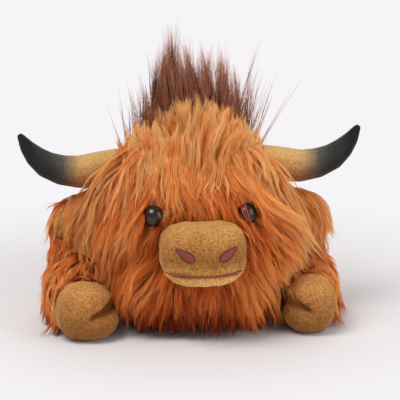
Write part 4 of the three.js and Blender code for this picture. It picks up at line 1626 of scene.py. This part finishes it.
@dataclass
class Crest:
    """The dark upright tuft on the crown: pointed locks like a flame, and wisps at its ends.

    Attributes:
        outline: Places along the crown, each with the height of the tips over the floor.
        tufts: Its sets of locks.
        depth: Depth of the strip that it grows from.
        proud: How far the finest hairs may rise over the CAD crest.
    """

    outline: tuple[tuple[float, float], ...] = (
        (-46, 178), (-30, 180), (-25, 190), (-20, 208), (-14, 217), (-8, 210), (-3, 202),
        (6, 206), (13, 201), (17, 198), (21, 213), (26, 197), (31, 209), (36, 190), (48, 181),
    )
    tufts: tuple[Tuft, ...] = (
        Tuft("flame_right", (-25, -7), 26, 66, -14, 0.35, -0.5, shortest=0.65),
        Tuft("flame_middle", (-9, 20), 36, 46, -30, 0.25, 0.25, shortest=0.55),
        Tuft("flame_left", (8, 35), 30, 42, 26, 0.15, 0.1, shortest=0.5),
        Tuft("foot", (-32, 40), 44, 30, 0, -0.1, 0.0, shortest=0.3, thickness=0.42),
        Tuft("fringe_right", (-36, -8), 34, 9, 0, -0.1, 0.0, 3.0, 0.4, 0.32, 9),
        Tuft("fringe", (-40, 42), 46, 8, 0, -0.1, 0.1, 3.5, 0.45, 0.3, 12),
        Tuft("wisps_right", (-44, -24), 16, 7, 0, -0.3, 0.0, 2.0, 0.6, 0.3),
        Tuft("wisps_left", (33, 44), 16, 7, 0, -0.6, 0.1, 2.0, 0.5, 0.3),
        Tuft("wisps", (-20, 30), 56, 3, -20, 0.2, 0.4, 4.0, 0.8, 0.22, rise=0.11),
    )
    depth: float = 17
    proud: float = 8
    seed: int = 71

    def spines(self, tuft: Tuft, ground: Surface, dice: np.random.Generator) -> Points:
        """Returns the middle line of every lock of a tuft.

        Args:
            tuft: The tuft.
            ground: What it grows from.
            dice: Source of the random draws.

        Returns:
            The lines, as locks by stages by three.
        """
        low, high = box_mm("crest")
        count = tuft.locks
        x = np.linspace(*tuft.feet, count) + dice.normal(0, 1.2, count)
        y = (low[1] + high[1]) / 2 + dice.uniform(-0.5, 0.5, count) * self.depth - tuft.ahead
        foot = []
        for across, along in zip(x, y):
            hit = ground.tree.ray_cast(Vector((across, along, high[2])), Vector((0, 0, -1)))[0]
            foot.append(np.array(hit) if hit else np.array((across, along, low[2])))
        foot = np.array(foot) - (0, 0, 1)
        top = np.interp(x, *zip(*self.outline))
        tall = (top - foot[:, 2]) * dice.uniform(tuft.shortest, 1.0, count) * (1 + tuft.rise)
        lean = (tuft.toward - x) * tuft.gather * tall / 60 * dice.uniform(0.5, 1.3, count)
        lean += dice.normal(0, 2.6, count)
        sway = dice.normal(0, 3, count)
        share = np.linspace(0, 1, 7)
        bend = share ** (1.4 if tuft.gather > 0 else 1.15)
        return foot[:, None] + np.stack(
            [lean[:, None] * bend, sway[:, None] * share, tall[:, None] * share], axis=-1
        )

    def strands_of(self, tuft: Tuft, spine: Points, dice: np.random.Generator) -> Strands:
        """Gathers strands of many lengths round each spine, closing in on it at the tip.

        Args:
            tuft: The tuft.
            spine: Its locks' middle lines.
            dice: Source of the random draws.

        Returns:
            The strands.
        """
        locks, stages, _ = spine.shape
        per, share = tuft.strands, np.linspace(0, 1, stages)
        angle = dice.uniform(0, 2 * math.pi, (locks, per))
        reach = np.sqrt(dice.random((locks, per))) * tuft.spread
        offset = np.stack([np.cos(angle) * reach, np.sin(angle) * reach * 0.8, 0 * angle], axis=-1)
        cut = dice.uniform(0.3, 1.0, (locks, per)) ** 0.9
        line = followed(spine, share, cut)
        draw = 1 - 0.85 * (share * cut[..., None]) ** 0.8
        line = line + offset[:, :, None] * draw[..., None]
        line += dice.normal(0, 1.3, (locks, per, 1, 3)) * (share**2)[:, None]
        line[..., 2] = np.minimum(line[..., 2], box_mm("crest")[1][2] + self.proud)
        tone = tuft.tone + dice.normal(0, 0.2, locks)[:, None] + dice.normal(0, 0.15, (locks, per))
        tone = tone[..., None] + np.interp(share, (0, 0.4, 0.75, 1), (-0.4, -0.1, 0.25, 0.8))
        taper = np.interp(share, (0, 0.6, 0.88, 1), (1, 0.8, 0.4, 0.1)) * tuft.thickness / 2
        return Strands(
            line.reshape(-1, stages, 3), np.tile((0.0, -1.0, 0.0), (locks * per, 1)),
            np.tile(taper, (locks * per, 1)), tint_of(BROWN, tone.reshape(locks * per, stages)),
        )

    def build(self, workshop: "Workshop") -> None:
        """Grows the tufts in place of the CAD locks.

        Args:
            workshop: Holds what the pieces share.
        """
        dice = np.random.default_rng(self.seed)
        for tuft in self.tufts:
            spine = self.spines(tuft, workshop.head.skin, dice)
            strands, name = self.strands_of(tuft, spine, dice), f"crest_{tuft.name}"
            mesh = strands.mesh(name)
            workshop.add(name, mesh, BROWN_PILE, "head", "long_pile_brown", "crest")


# Short-pile parts and fittings


@dataclass
class Stuffed:
    """A stuffed short-pile part that keeps its CAD form, with its edges rounded off.

    Attributes:
        name: Name of its piece.
        node: The CAD node that it stands for.
        body: The body that it rides on.
        finish: Its cloth.
        slot: Its material slot.
        voxel: Size of its faces, in millimetres.
        rounds: How often it is smoothed.
        fill: How tightly it is stuffed.
    """

    name: str
    node: str
    body: str
    finish: ShortPile
    slot: str = "velboa_tan"
    voxel: float = 1.2
    rounds: int = 6
    fill: float = 0.9

    def __post_init__(self) -> None:
        """Shapes the part."""
        self.mesh = softened(self.name, (self.node,), self.voxel, self.rounds)

    def build(self, workshop: "Workshop") -> None:
        """Adds the part to the scene."""
        sewn_on = (self.finish, self.body, self.slot, self.node)
        workshop.add(self.name, self.mesh, *sewn_on, fill=self.fill)


@dataclass
class MuzzlePart(Stuffed):
    """The muzzle's dome or its lip, whose corners the stuffing fills out.

    Attributes:
        square: How square it is above, seen from the front: 2 is an oval.
        square_below: How square it is below.
    """

    square: float = 2.8
    square_below: float = 2.35

    def __post_init__(self) -> None:
        """Shapes the part and fills out its corners."""
        super().__post_init__()
        low, high = box_mm("muzzle", "lower_lip")
        middle, half = ((low + high) / 2)[[0, 2]], ((high - low) / 2)[[0, 2]]
        points = read_points(self.mesh)
        share = (points[:, (0, 2)] - middle) / half
        away = np.abs(unit(share + 1e-9))
        power = np.where(share[:, 1:] > 0, self.square, self.square_below)
        share /= (away**power).sum(1, keepdims=True) ** (1 / power)
        points[:, (0, 2)] = middle + share * half
        write_points(self.mesh, points)


@dataclass
class FrontHoof(Stuffed):
    """A front hoof, with the cleft that is pulled in between its two toes.

    Attributes:
        side: The side that it is on.
        mouth: Where the cleft opens, as distance from the hoof's inner side and height.
        root: Where it ends on the hoof's face, measured alike.
        opening: Half the height of its mouth, in millimetres.
        depth: How deep it is pulled in at its mouth.
        girth: Width of the hoof as a share of the CAD's.
    """

    side: Side = Side.LEFT
    mouth: tuple[float, float] = (4.0, 25.5)
    root: tuple[float, float] = (21.0, 19.0)
    opening: float = 4.2
    depth: float = 15.0
    girth: float = 1.0

    def __post_init__(self) -> None:
        """Shapes the hoof and pulls its cleft in."""
        mesh = softened(self.name, (self.node,), self.voxel, 2)
        points = read_points(mesh)
        low, high = points.min(axis=0), points.max(axis=0)
        away = (points[:, 0] - (low + high)[0] / 2) * self.side.value + (high - low)[0] / 2
        start, line = np.array(self.mouth), np.subtract(self.root, self.mouth)
        length = np.linalg.norm(line)
        gap = np.stack([away, points[:, 2]], axis=-1) - start
        along = gap @ line / length**2
        over = np.abs(gap @ (-line[1], line[0])) / length
        half = self.opening * np.clip(1 - along, 0.12, 1.8) + 1.2
        share = np.clip(1 - (over / half) ** 2, 0, 1) * np.clip((1.12 - along) * 6, 0, 1)
        share *= np.clip(((low + high)[1] / 2 + 2 - points[:, 1]) / 8, 0, 1)
        points[:, 1] += self.depth * share**0.6 * (1 - 0.55 * np.clip(along, 0, 1))
        middle = (low + high)[0] / 2
        points[:, 0] = middle + (points[:, 0] - middle) * self.girth
        write_points(mesh, points)
        self.mesh = reskinned(self.name, mesh, self.voxel, self.rounds)


def tube(path: Points, radius: float, sides: int = 8) -> tuple[Points, Faces]:
    """Makes a closed round tube with rounded ends along a path.

    Args:
        path: Places along its middle, in millimetres.
        radius: Its radius.
        sides: Its sides.

    Returns:
        Its corners and its faces.
    """
    ends = [path[0] - unit(path[1] - path[0]) * radius * 0.6]
    after = [path[-1] + unit(path[-1] - path[-2]) * radius * 0.6]
    line = np.vstack([ends, path, after])
    girth = np.full(len(line), radius)
    girth[[0, -1]] = radius * 0.45
    along = unit(np.gradient(line, axis=0))
    across = unit(np.cross(along, (0.12, 0.97, 0.2)))
    out = np.cross(across, along)
    turn = np.arange(sides) * 2 * math.pi / sides
    around = across[:, None] * np.cos(turn)[:, None] + out[:, None] * np.sin(turn)[:, None]
    corners = (line[:, None] + around * girth[:, None, None]).reshape(-1, 3)
    faces = []
    for ring in range(len(line) - 1):
        for k in range(sides):
            here, there = ring * sides + k, ring * sides + (k + 1) % sides
            faces.append((here, there, there + sides, here + sides))
    faces.append(tuple(range(sides - 1, -1, -1)))
    last = (len(line) - 1) * sides
    faces.append(tuple(last + k for k in range(sides)))
    return corners, faces


def sewn(name: str, threads: list[Points], radius: float) -> Mesh:
    """Makes one mesh of many threads, each a path in millimetres.

    Args:
        name: The mesh's name.
        threads: The threads' paths.
        radius: Half a thread's width.

    Returns:
        The mesh.
    """
    corners, faces, start = [], [], 0
    for path in threads:
        points, rims = tube(path, radius)
        corners.append(points)
        faces += [tuple(start + v for v in rim) for rim in rims]
        start += len(points)
    return mesh_from(name, np.vstack(corners), faces)


@dataclass
class Muzzle:
    """The embroidery of the muzzle: the backstitched mouth and two satin-stitched nostrils.

    Attributes:
        stitch: Length of a mouth stitch, in millimetres.
        gap: Gap between two of them.
        thread: Radius of the mouth thread.
        mouth_bow: How much higher the mouth's ends are sewn than the CAD's.
        satin: Radius of a nostril thread.
        satin_rows: Threads across a nostril.
        edge: Radius of the thread round a nostril.
        nostril_length: Length of a nostril.
        nostril_width: Its width.
        nostril_tilt: Its tilt, in degrees.
    """

    stitch: float = 2.6
    gap: float = 0.5
    thread: float = 0.5
    mouth_bow: float = 1.5
    satin: float = 0.38
    satin_rows: int = 26
    edge: float = 0.5
    nostril_length: float = 14.6
    nostril_width: float = 6.4
    nostril_tilt: float = 34

    def on_face(self, ground: Surface, across: float, up: float, proud: float) -> Points:
        """Returns the place on the muzzle's face in front of a point, lifted off it.

        Args:
            ground: The muzzle's face.
            across: The point's place across.
            up: Its height.
            proud: How far to lift it.

        Returns:
            The place.
        """
        front = ground.points[:, 1].min() - 1
        found = []
        for aside in (-1.5, 0, 1.5):
            start = Vector((across, front, up + aside))
            hit, normal, _, _ = ground.tree.ray_cast(start, Vector((0, 1, 0)))
            if hit is None:
                hit, normal, _, _ = ground.tree.find_nearest(start)
            found.append((hit[1], *normal))
        found = np.array(found)
        return np.array((across, found[:, 0].min(), up)) + unit(found[:, 1:].mean(0)) * proud

    def sew_mouth(self, workshop: "Workshop") -> None:
        """Sews the mouth along the CAD's mouth line, stitch by stitch.

        Args:
            workshop: Holds what the pieces share.
        """
        points = read_points(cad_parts["mouth_stitching"].data)
        low, high = points[:, 0].min(), points[:, 0].max()
        curve = np.polyfit(points[:, 0], points[:, 2], 2) + (self.mouth_bow / high**2, 0, 0.5)
        threads = []
        for start in np.arange(low + 0.5, high - self.stitch, self.stitch + self.gap):
            spots = zip(np.linspace(start, start + self.stitch, 4), (-0.3, 0.35, 0.35, -0.3))
            path = [self.on_face(workshop.face, x, np.polyval(curve, x), up) for x, up in spots]
            threads.append(np.array(path))
        mesh = sewn("mouth_backstitch", threads, self.thread)
        workshop.add(mesh.name, mesh, MOUTH_THREAD, "head", "embroidery_thread", "mouth_stitching")

    def sew_nostril(self, side: Side, workshop: "Workshop") -> None:
        """Fills a leaf with satin stitches and edges it with a darker thread.

        Args:
            side: The side.
            workshop: Holds what the pieces share.
        """
        node = f"nostril_{side.word}"
        middle = sum(box_mm(node)) / 2
        tilt = math.radians(self.nostril_tilt)
        along = np.array((math.cos(tilt) * side.value, math.sin(tilt)))
        over = np.array((-along[1], along[0]))
        width, length = self.nostril_width, self.nostril_length

        def leaf(share: float) -> float:
            """Returns the leaf's half width at a share of its length."""
            return width / 2 * math.sin(math.pi * share**0.65) ** 0.8

        def sewn_at(share: float, reach: float, lift: float) -> Points:
            """Returns the place on the face at a share of the leaf's length and a reach."""
            spot = along * (share - 0.5) * length + over * reach
            return self.on_face(workshop.face, middle[0] + spot[0], middle[2] + spot[1], lift)

        threads = []
        for share in np.linspace(0.03, 0.97, self.satin_rows):
            reach = max(leaf(share) - 0.3, 0.3)
            rise = ((-1, -0.1), (-0.5, 0.3), (0, 0.4), (0.5, 0.3), (1, -0.1))
            threads.append(np.array([sewn_at(share, across * reach, up) for across, up in rise]))
        shares = np.linspace(0, 1, 15)
        rim = [(u, leaf(u)) for u in shares] + [(u, -leaf(u)) for u in shares[::-1]]
        edge = [np.array([sewn_at(u, reach, 0.2) for u, reach in rim])]
        satin = sewn(f"nostril_satin_{side.word}", threads, self.satin)
        border = sewn(f"nostril_edge_{side.word}", edge, self.edge)
        slot = "embroidery_thread"
        workshop.add(satin.name, satin, NOSTRIL_THREAD, "head", slot, node)
        workshop.add(border.name, border, NOSTRIL_EDGE, "head", slot)

    def build(self, workshop: "Workshop") -> None:
        """Sews the mouth and the nostrils."""
        self.sew_mouth(workshop)
        for side in Side:
            self.sew_nostril(side, workshop)


@dataclass
class SafetyEye:
    """A glossy domed safety eye with its rim and shank, on the CAD eye's own axis.

    Attributes:
        side: The side that it is on.
        rings: Rings of points on its dome.
        turns: Points round a ring.
        SHANK_END: How far under the rim's top the disc begins, in millimetres.
        RIM_FOOT: How far under it the rim is at its full width.
    """

    side: Side
    rings: int = 14
    turns: int = 48

    SHANK_END = 2.2
    RIM_FOOT = 1.6

    def profile(self, along: Points, radial: Points) -> list[tuple[float, float]]:
        """Returns the eye's outline as radii and heights, from its shank to its dome.

        Args:
            along: Heights of the CAD eye's points on its axis.
            radial: Their distances from it.

        Returns:
            A radius and a height for each turn of the outline.
        """
        radius, top, foot = radial.max(), along.max(), along.min()
        rim = along[radial > 0.98 * radius].max()
        shank, under = radial[along < foot + 1].max(), rim - self.SHANK_END
        bends = np.arange(1, self.rings + 1) * math.pi / 2 / self.rings
        return [
            (0, foot), (shank, foot), (shank, under), (radius * 0.9, under),
            (radius, rim - self.RIM_FOOT), (radius * 1.02, rim - self.RIM_FOOT / 2), (radius, rim),
        ] + [
            (radius * 0.985 * math.cos(bend), rim + (top - rim) * math.sin(bend))
            for bend in bends
        ]

    def build(self, workshop: "Workshop") -> None:
        """Turns the eye and adds it to the scene.

        Args:
            workshop: Holds what the pieces share.
        """
        points = read_points(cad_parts[f"eye_{self.side.word}"].data)
        middle = points.mean(axis=0)
        axis = np.linalg.svd(points - middle)[2][0]
        axis = axis * np.sign(-axis[1])
        along = (points - middle) @ axis
        radial = np.linalg.norm(points - middle - along[:, None] * axis, axis=1)
        profile = self.profile(along, radial)
        first = unit(np.cross(axis, (0.0, 0.0, 1.0)))
        second = np.cross(axis, first)
        corners, faces, inner = [], [], len(profile) - 2
        start, end = inner * self.turns, inner * self.turns + 1
        for turn in range(self.turns):
            angle = 2 * math.pi * turn / self.turns
            out = first * math.cos(angle) + second * math.sin(angle)
            corners += [middle + axis * h + out * r for r, h in profile[1:-1]]
            here, there = turn * inner, (turn + 1) % self.turns * inner
            for k in range(inner - 1):
                faces.append((here + k, there + k, there + k + 1, here + k + 1))
            faces.append((start, there, here))
            faces.append((end, here + inner - 1, there + inner - 1))
        corners += [middle + axis * profile[k][1] for k in (0, -1)]
        name = f"safety_eye_{self.side.word}"
        mesh = mesh_from(name, np.array(corners), faces)
        node = f"eye_{self.side.word}"
        workshop.add(name, mesh, EYE_PLASTIC, "head", "eye_plastic", node)
        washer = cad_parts[f"eye_washer_{self.side.word}"].data
        washer.materials.clear()
        washer.materials.append(workshop.material(WASHER_PLASTIC))


# The studio


@dataclass
class Studio:
    """A pale seamless floor, soft light and the camera at the photograph's angle.

    Attributes:
        azimuth: Camera azimuth in degrees.
        elevation: Camera elevation in degrees.
        distance: Camera distance in millimetres.
        field_mm: Width of the view at the target, in millimetres.
        target: The point that the camera looks at, in millimetres.
        lit: The point that the lamps face, in millimetres.
        floor_reach: How far the floor reaches, in millimetres.
        backdrop: Colour of the backdrop.
        paper: Colour of the floor near the toy.
        lamps: Name, place, width and watts of each lamp, in millimetres.
    """

    azimuth: float = -7
    elevation: float = 14
    distance: float = 2000
    field_mm: float = 288
    target: Spot = (9.4, -15.7, 80.0)
    lit: Spot = (0.0, -20.0, 80.0)
    floor_reach: float = 6000
    backdrop: str = "#f6f4f7"
    paper: str = "#eae7e8"
    lamps: tuple[tuple[str, Spot, float, float], ...] = (
        ("key", (-600, -540, 1220), 700, 11.0), ("fill", (900, -700, 500), 900, 5.0),
        ("back", (200, 900, 900), 700, 2.5),
    )

    def build(self) -> None:
        """Adds the camera, the floor, the world and the lamps."""
        self.add_camera()
        self.add_floor()
        self.add_world()
        for name, place, size, watts in self.lamps:
            light = bpy.data.lights.new(name, "AREA")
            light.size, light.energy = size * MM, watts
            self.aim(name, light, Vector(place), Vector(self.lit) - Vector(place))
        bpy.context.scene.view_settings.view_transform = "Standard"

    def aim(self, name: str, data: ID, place: Vector, way: Vector) -> Object:
        """Adds a camera or lamp at a place in millimetres, so that it faces a direction.

        Args:
            name: Its name.
            data: The camera or lamp.
            place: The place.
            way: The direction.

        Returns:
            The object.
        """
        made = bpy.data.objects.new(name, data)
        bpy.context.scene.collection.objects.link(made)
        made.location = place * MM
        made.rotation_mode = "QUATERNION"
        made.rotation_quaternion = way.to_track_quat("-Z", "Y")
        return made

    def add_camera(self) -> None:
        """Places the camera."""
        lens = bpy.data.cameras.new("camera")
        lens.sensor_width = 36
        lens.lens = lens.sensor_width * self.distance / self.field_mm
        lens.clip_start, lens.clip_end = 0.05, 50
        turn, rise = math.radians(self.azimuth), math.radians(self.elevation)
        level = math.cos(rise)
        back = Vector((math.sin(turn) * level, -math.cos(turn) * level, math.sin(rise)))
        place = Vector(self.target) + back * self.distance
        bpy.context.scene.camera = self.aim("camera", lens, place, -back)

    def add_floor(self) -> None:
        """Lays a wide sheet of paper that fades into the backdrop away from the toy."""
        reach = self.floor_reach
        corners = [(-reach, -reach, 0), (reach, -reach, 0), (reach, reach, 0), (-reach, reach, 0)]
        sheet = mesh_from("paper_floor", np.array(corners), [(0, 1, 2, 3)])
        paper = Paper("seamless_paper", self.paper, self.backdrop)
        new_object("paper_floor", sheet, paper.material())

    def add_world(self) -> None:
        """Lights the toy evenly from all round, and shows the backdrop's colour to the camera."""
        world = bpy.data.worlds.new("studio")
        bpy.context.scene.world = world
        world.use_nodes = True
        world.node_tree.nodes.clear()
        seen = add_node(world, "LightPath", "Is Camera Ray")
        soft, shown = (
            add_node(world, "Background", 0, {"Color": opaque(colour), "Strength": strength})
            for colour, strength in (("#ffffff", 0.45), (self.backdrop, 1.0))
        )
        mixed = add_node(world, "MixShader", 0, {0: seen, 1: soft, 2: shown})
        add_node(world, "OutputWorld", inputs={"Surface": mixed})


@dataclass
class Workshop:
    """Holds the covers, what the pile lies over, and the materials.

    Attributes:
        covers: Every long-pile cover.
        stuffed: Every short-pile part.
        made: The materials built so far, by name.
    """

    covers: list[Cover]
    stuffed: list[Stuffed]
    made: dict[str, Material] = field(default_factory=dict)

    def __post_init__(self) -> None:
        """Collects the surfaces that the pile and the stitches need."""
        self.head = self.covers[0]
        eyes = [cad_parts[f"eye_{side.word}"].data for side in Side]
        self.over = Surface([part.mesh for part in (*self.stuffed, *self.covers)] + eyes)
        face = [part.mesh for part in self.stuffed if part.node in ("muzzle", "lower_lip")]
        self.face = Surface(face)

    def material(self, finish: Finish) -> Material:
        """Returns the material of a finish, built once."""
        if finish.name not in self.made:
            self.made[finish.name] = finish.material()
        return self.made[finish.name]

    def add(
        self, name: str, mesh: Mesh, finish: Finish, body: str, slot: str, *nodes: str,
        fill: float | None = None,
    ) -> None:
        """Adds a mesh to the scene as a piece of the toy.

        Args:
            name: The piece's name.
            mesh: Its mesh.
            finish: What it is made of.
            body: The body that it rides on.
            slot: Its material slot; not used.
            nodes: CAD nodes that it stands for.
            fill: How tightly it is stuffed, where it is a stuffed piece; not used.
        """
        piece = new_object(name, mesh, self.material(finish))
        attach(piece, body)
        if nodes:
            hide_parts(*nodes)
        LOG.info("%s: %d faces on %s", name, len(mesh.polygons), body)


def stuffed_parts() -> list[Stuffed]:
    """Returns the muzzle, the lip, the horns, the hooves and the ear linings."""
    parts = [
        MuzzlePart("muzzle_dome", "muzzle", "head", MUZZLE_VELBOA, voxel=1.0),
        MuzzlePart("lip_panel", "lower_lip", "head", MUZZLE_VELBOA, voxel=0.9, rounds=4),
    ]
    for side in Side:
        word = side.word
        parts += [
            Stuffed(
                f"horn_pile_{word}", f"horn_{word}", "head", HORN_PILE, "horn_plush", rounds=12
            ),
            Stuffed(
                f"ear_lining_velboa_{word}", f"ear_lining_{word}", f"{word}_ear",
                LINING_VELBOA, voxel=0.9, rounds=3, fill=0.3,
            ),
            FrontHoof(
                f"front_hoof_velboa_{word}", f"front_hoof_{word}", f"{word}_foreleg",
                HOOF_VELBOA, voxel=0.8, rounds=3, side=side,
                girth=0.84 if side is Side.LEFT else 1.0,
            ),
            Stuffed(
                f"hind_hoof_velboa_{word}", f"hind_hoof_{word}", f"{word}_hind_leg",
                HOOF_VELBOA, voxel=0.8, rounds=5,
            ),
        ]
    return parts


def cover_parts() -> list[Cover]:
    """Returns the head, the torso, the legs, the ears and the tail."""
    covers = [Head(), Torso()]
    for side in Side:
        covers += [*(Leg(side=side, limb=limb) for limb in Limb), Ear(side=side)]
    tuft = {"name": "tail_tuft", "nodes": ("tail_tuft",), "brown": True}
    return [*covers, TailPart(), TailPart(pile_length=26, locks=160, **tuft)]


def main() -> None:
    """Builds the studio and every part in order."""
    logging.basicConfig(level=logging.INFO, format="%(name)s %(message)s")
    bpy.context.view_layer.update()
    Studio().build()
    workshop = Workshop(cover_parts(), stuffed_parts())
    for part in (*workshop.stuffed, *workshop.covers, Crest(), Muzzle()):
        part.build(workshop)
    for side in Side:
        SafetyEye(side).build(workshop)


if __name__ == "__main__":
    main()
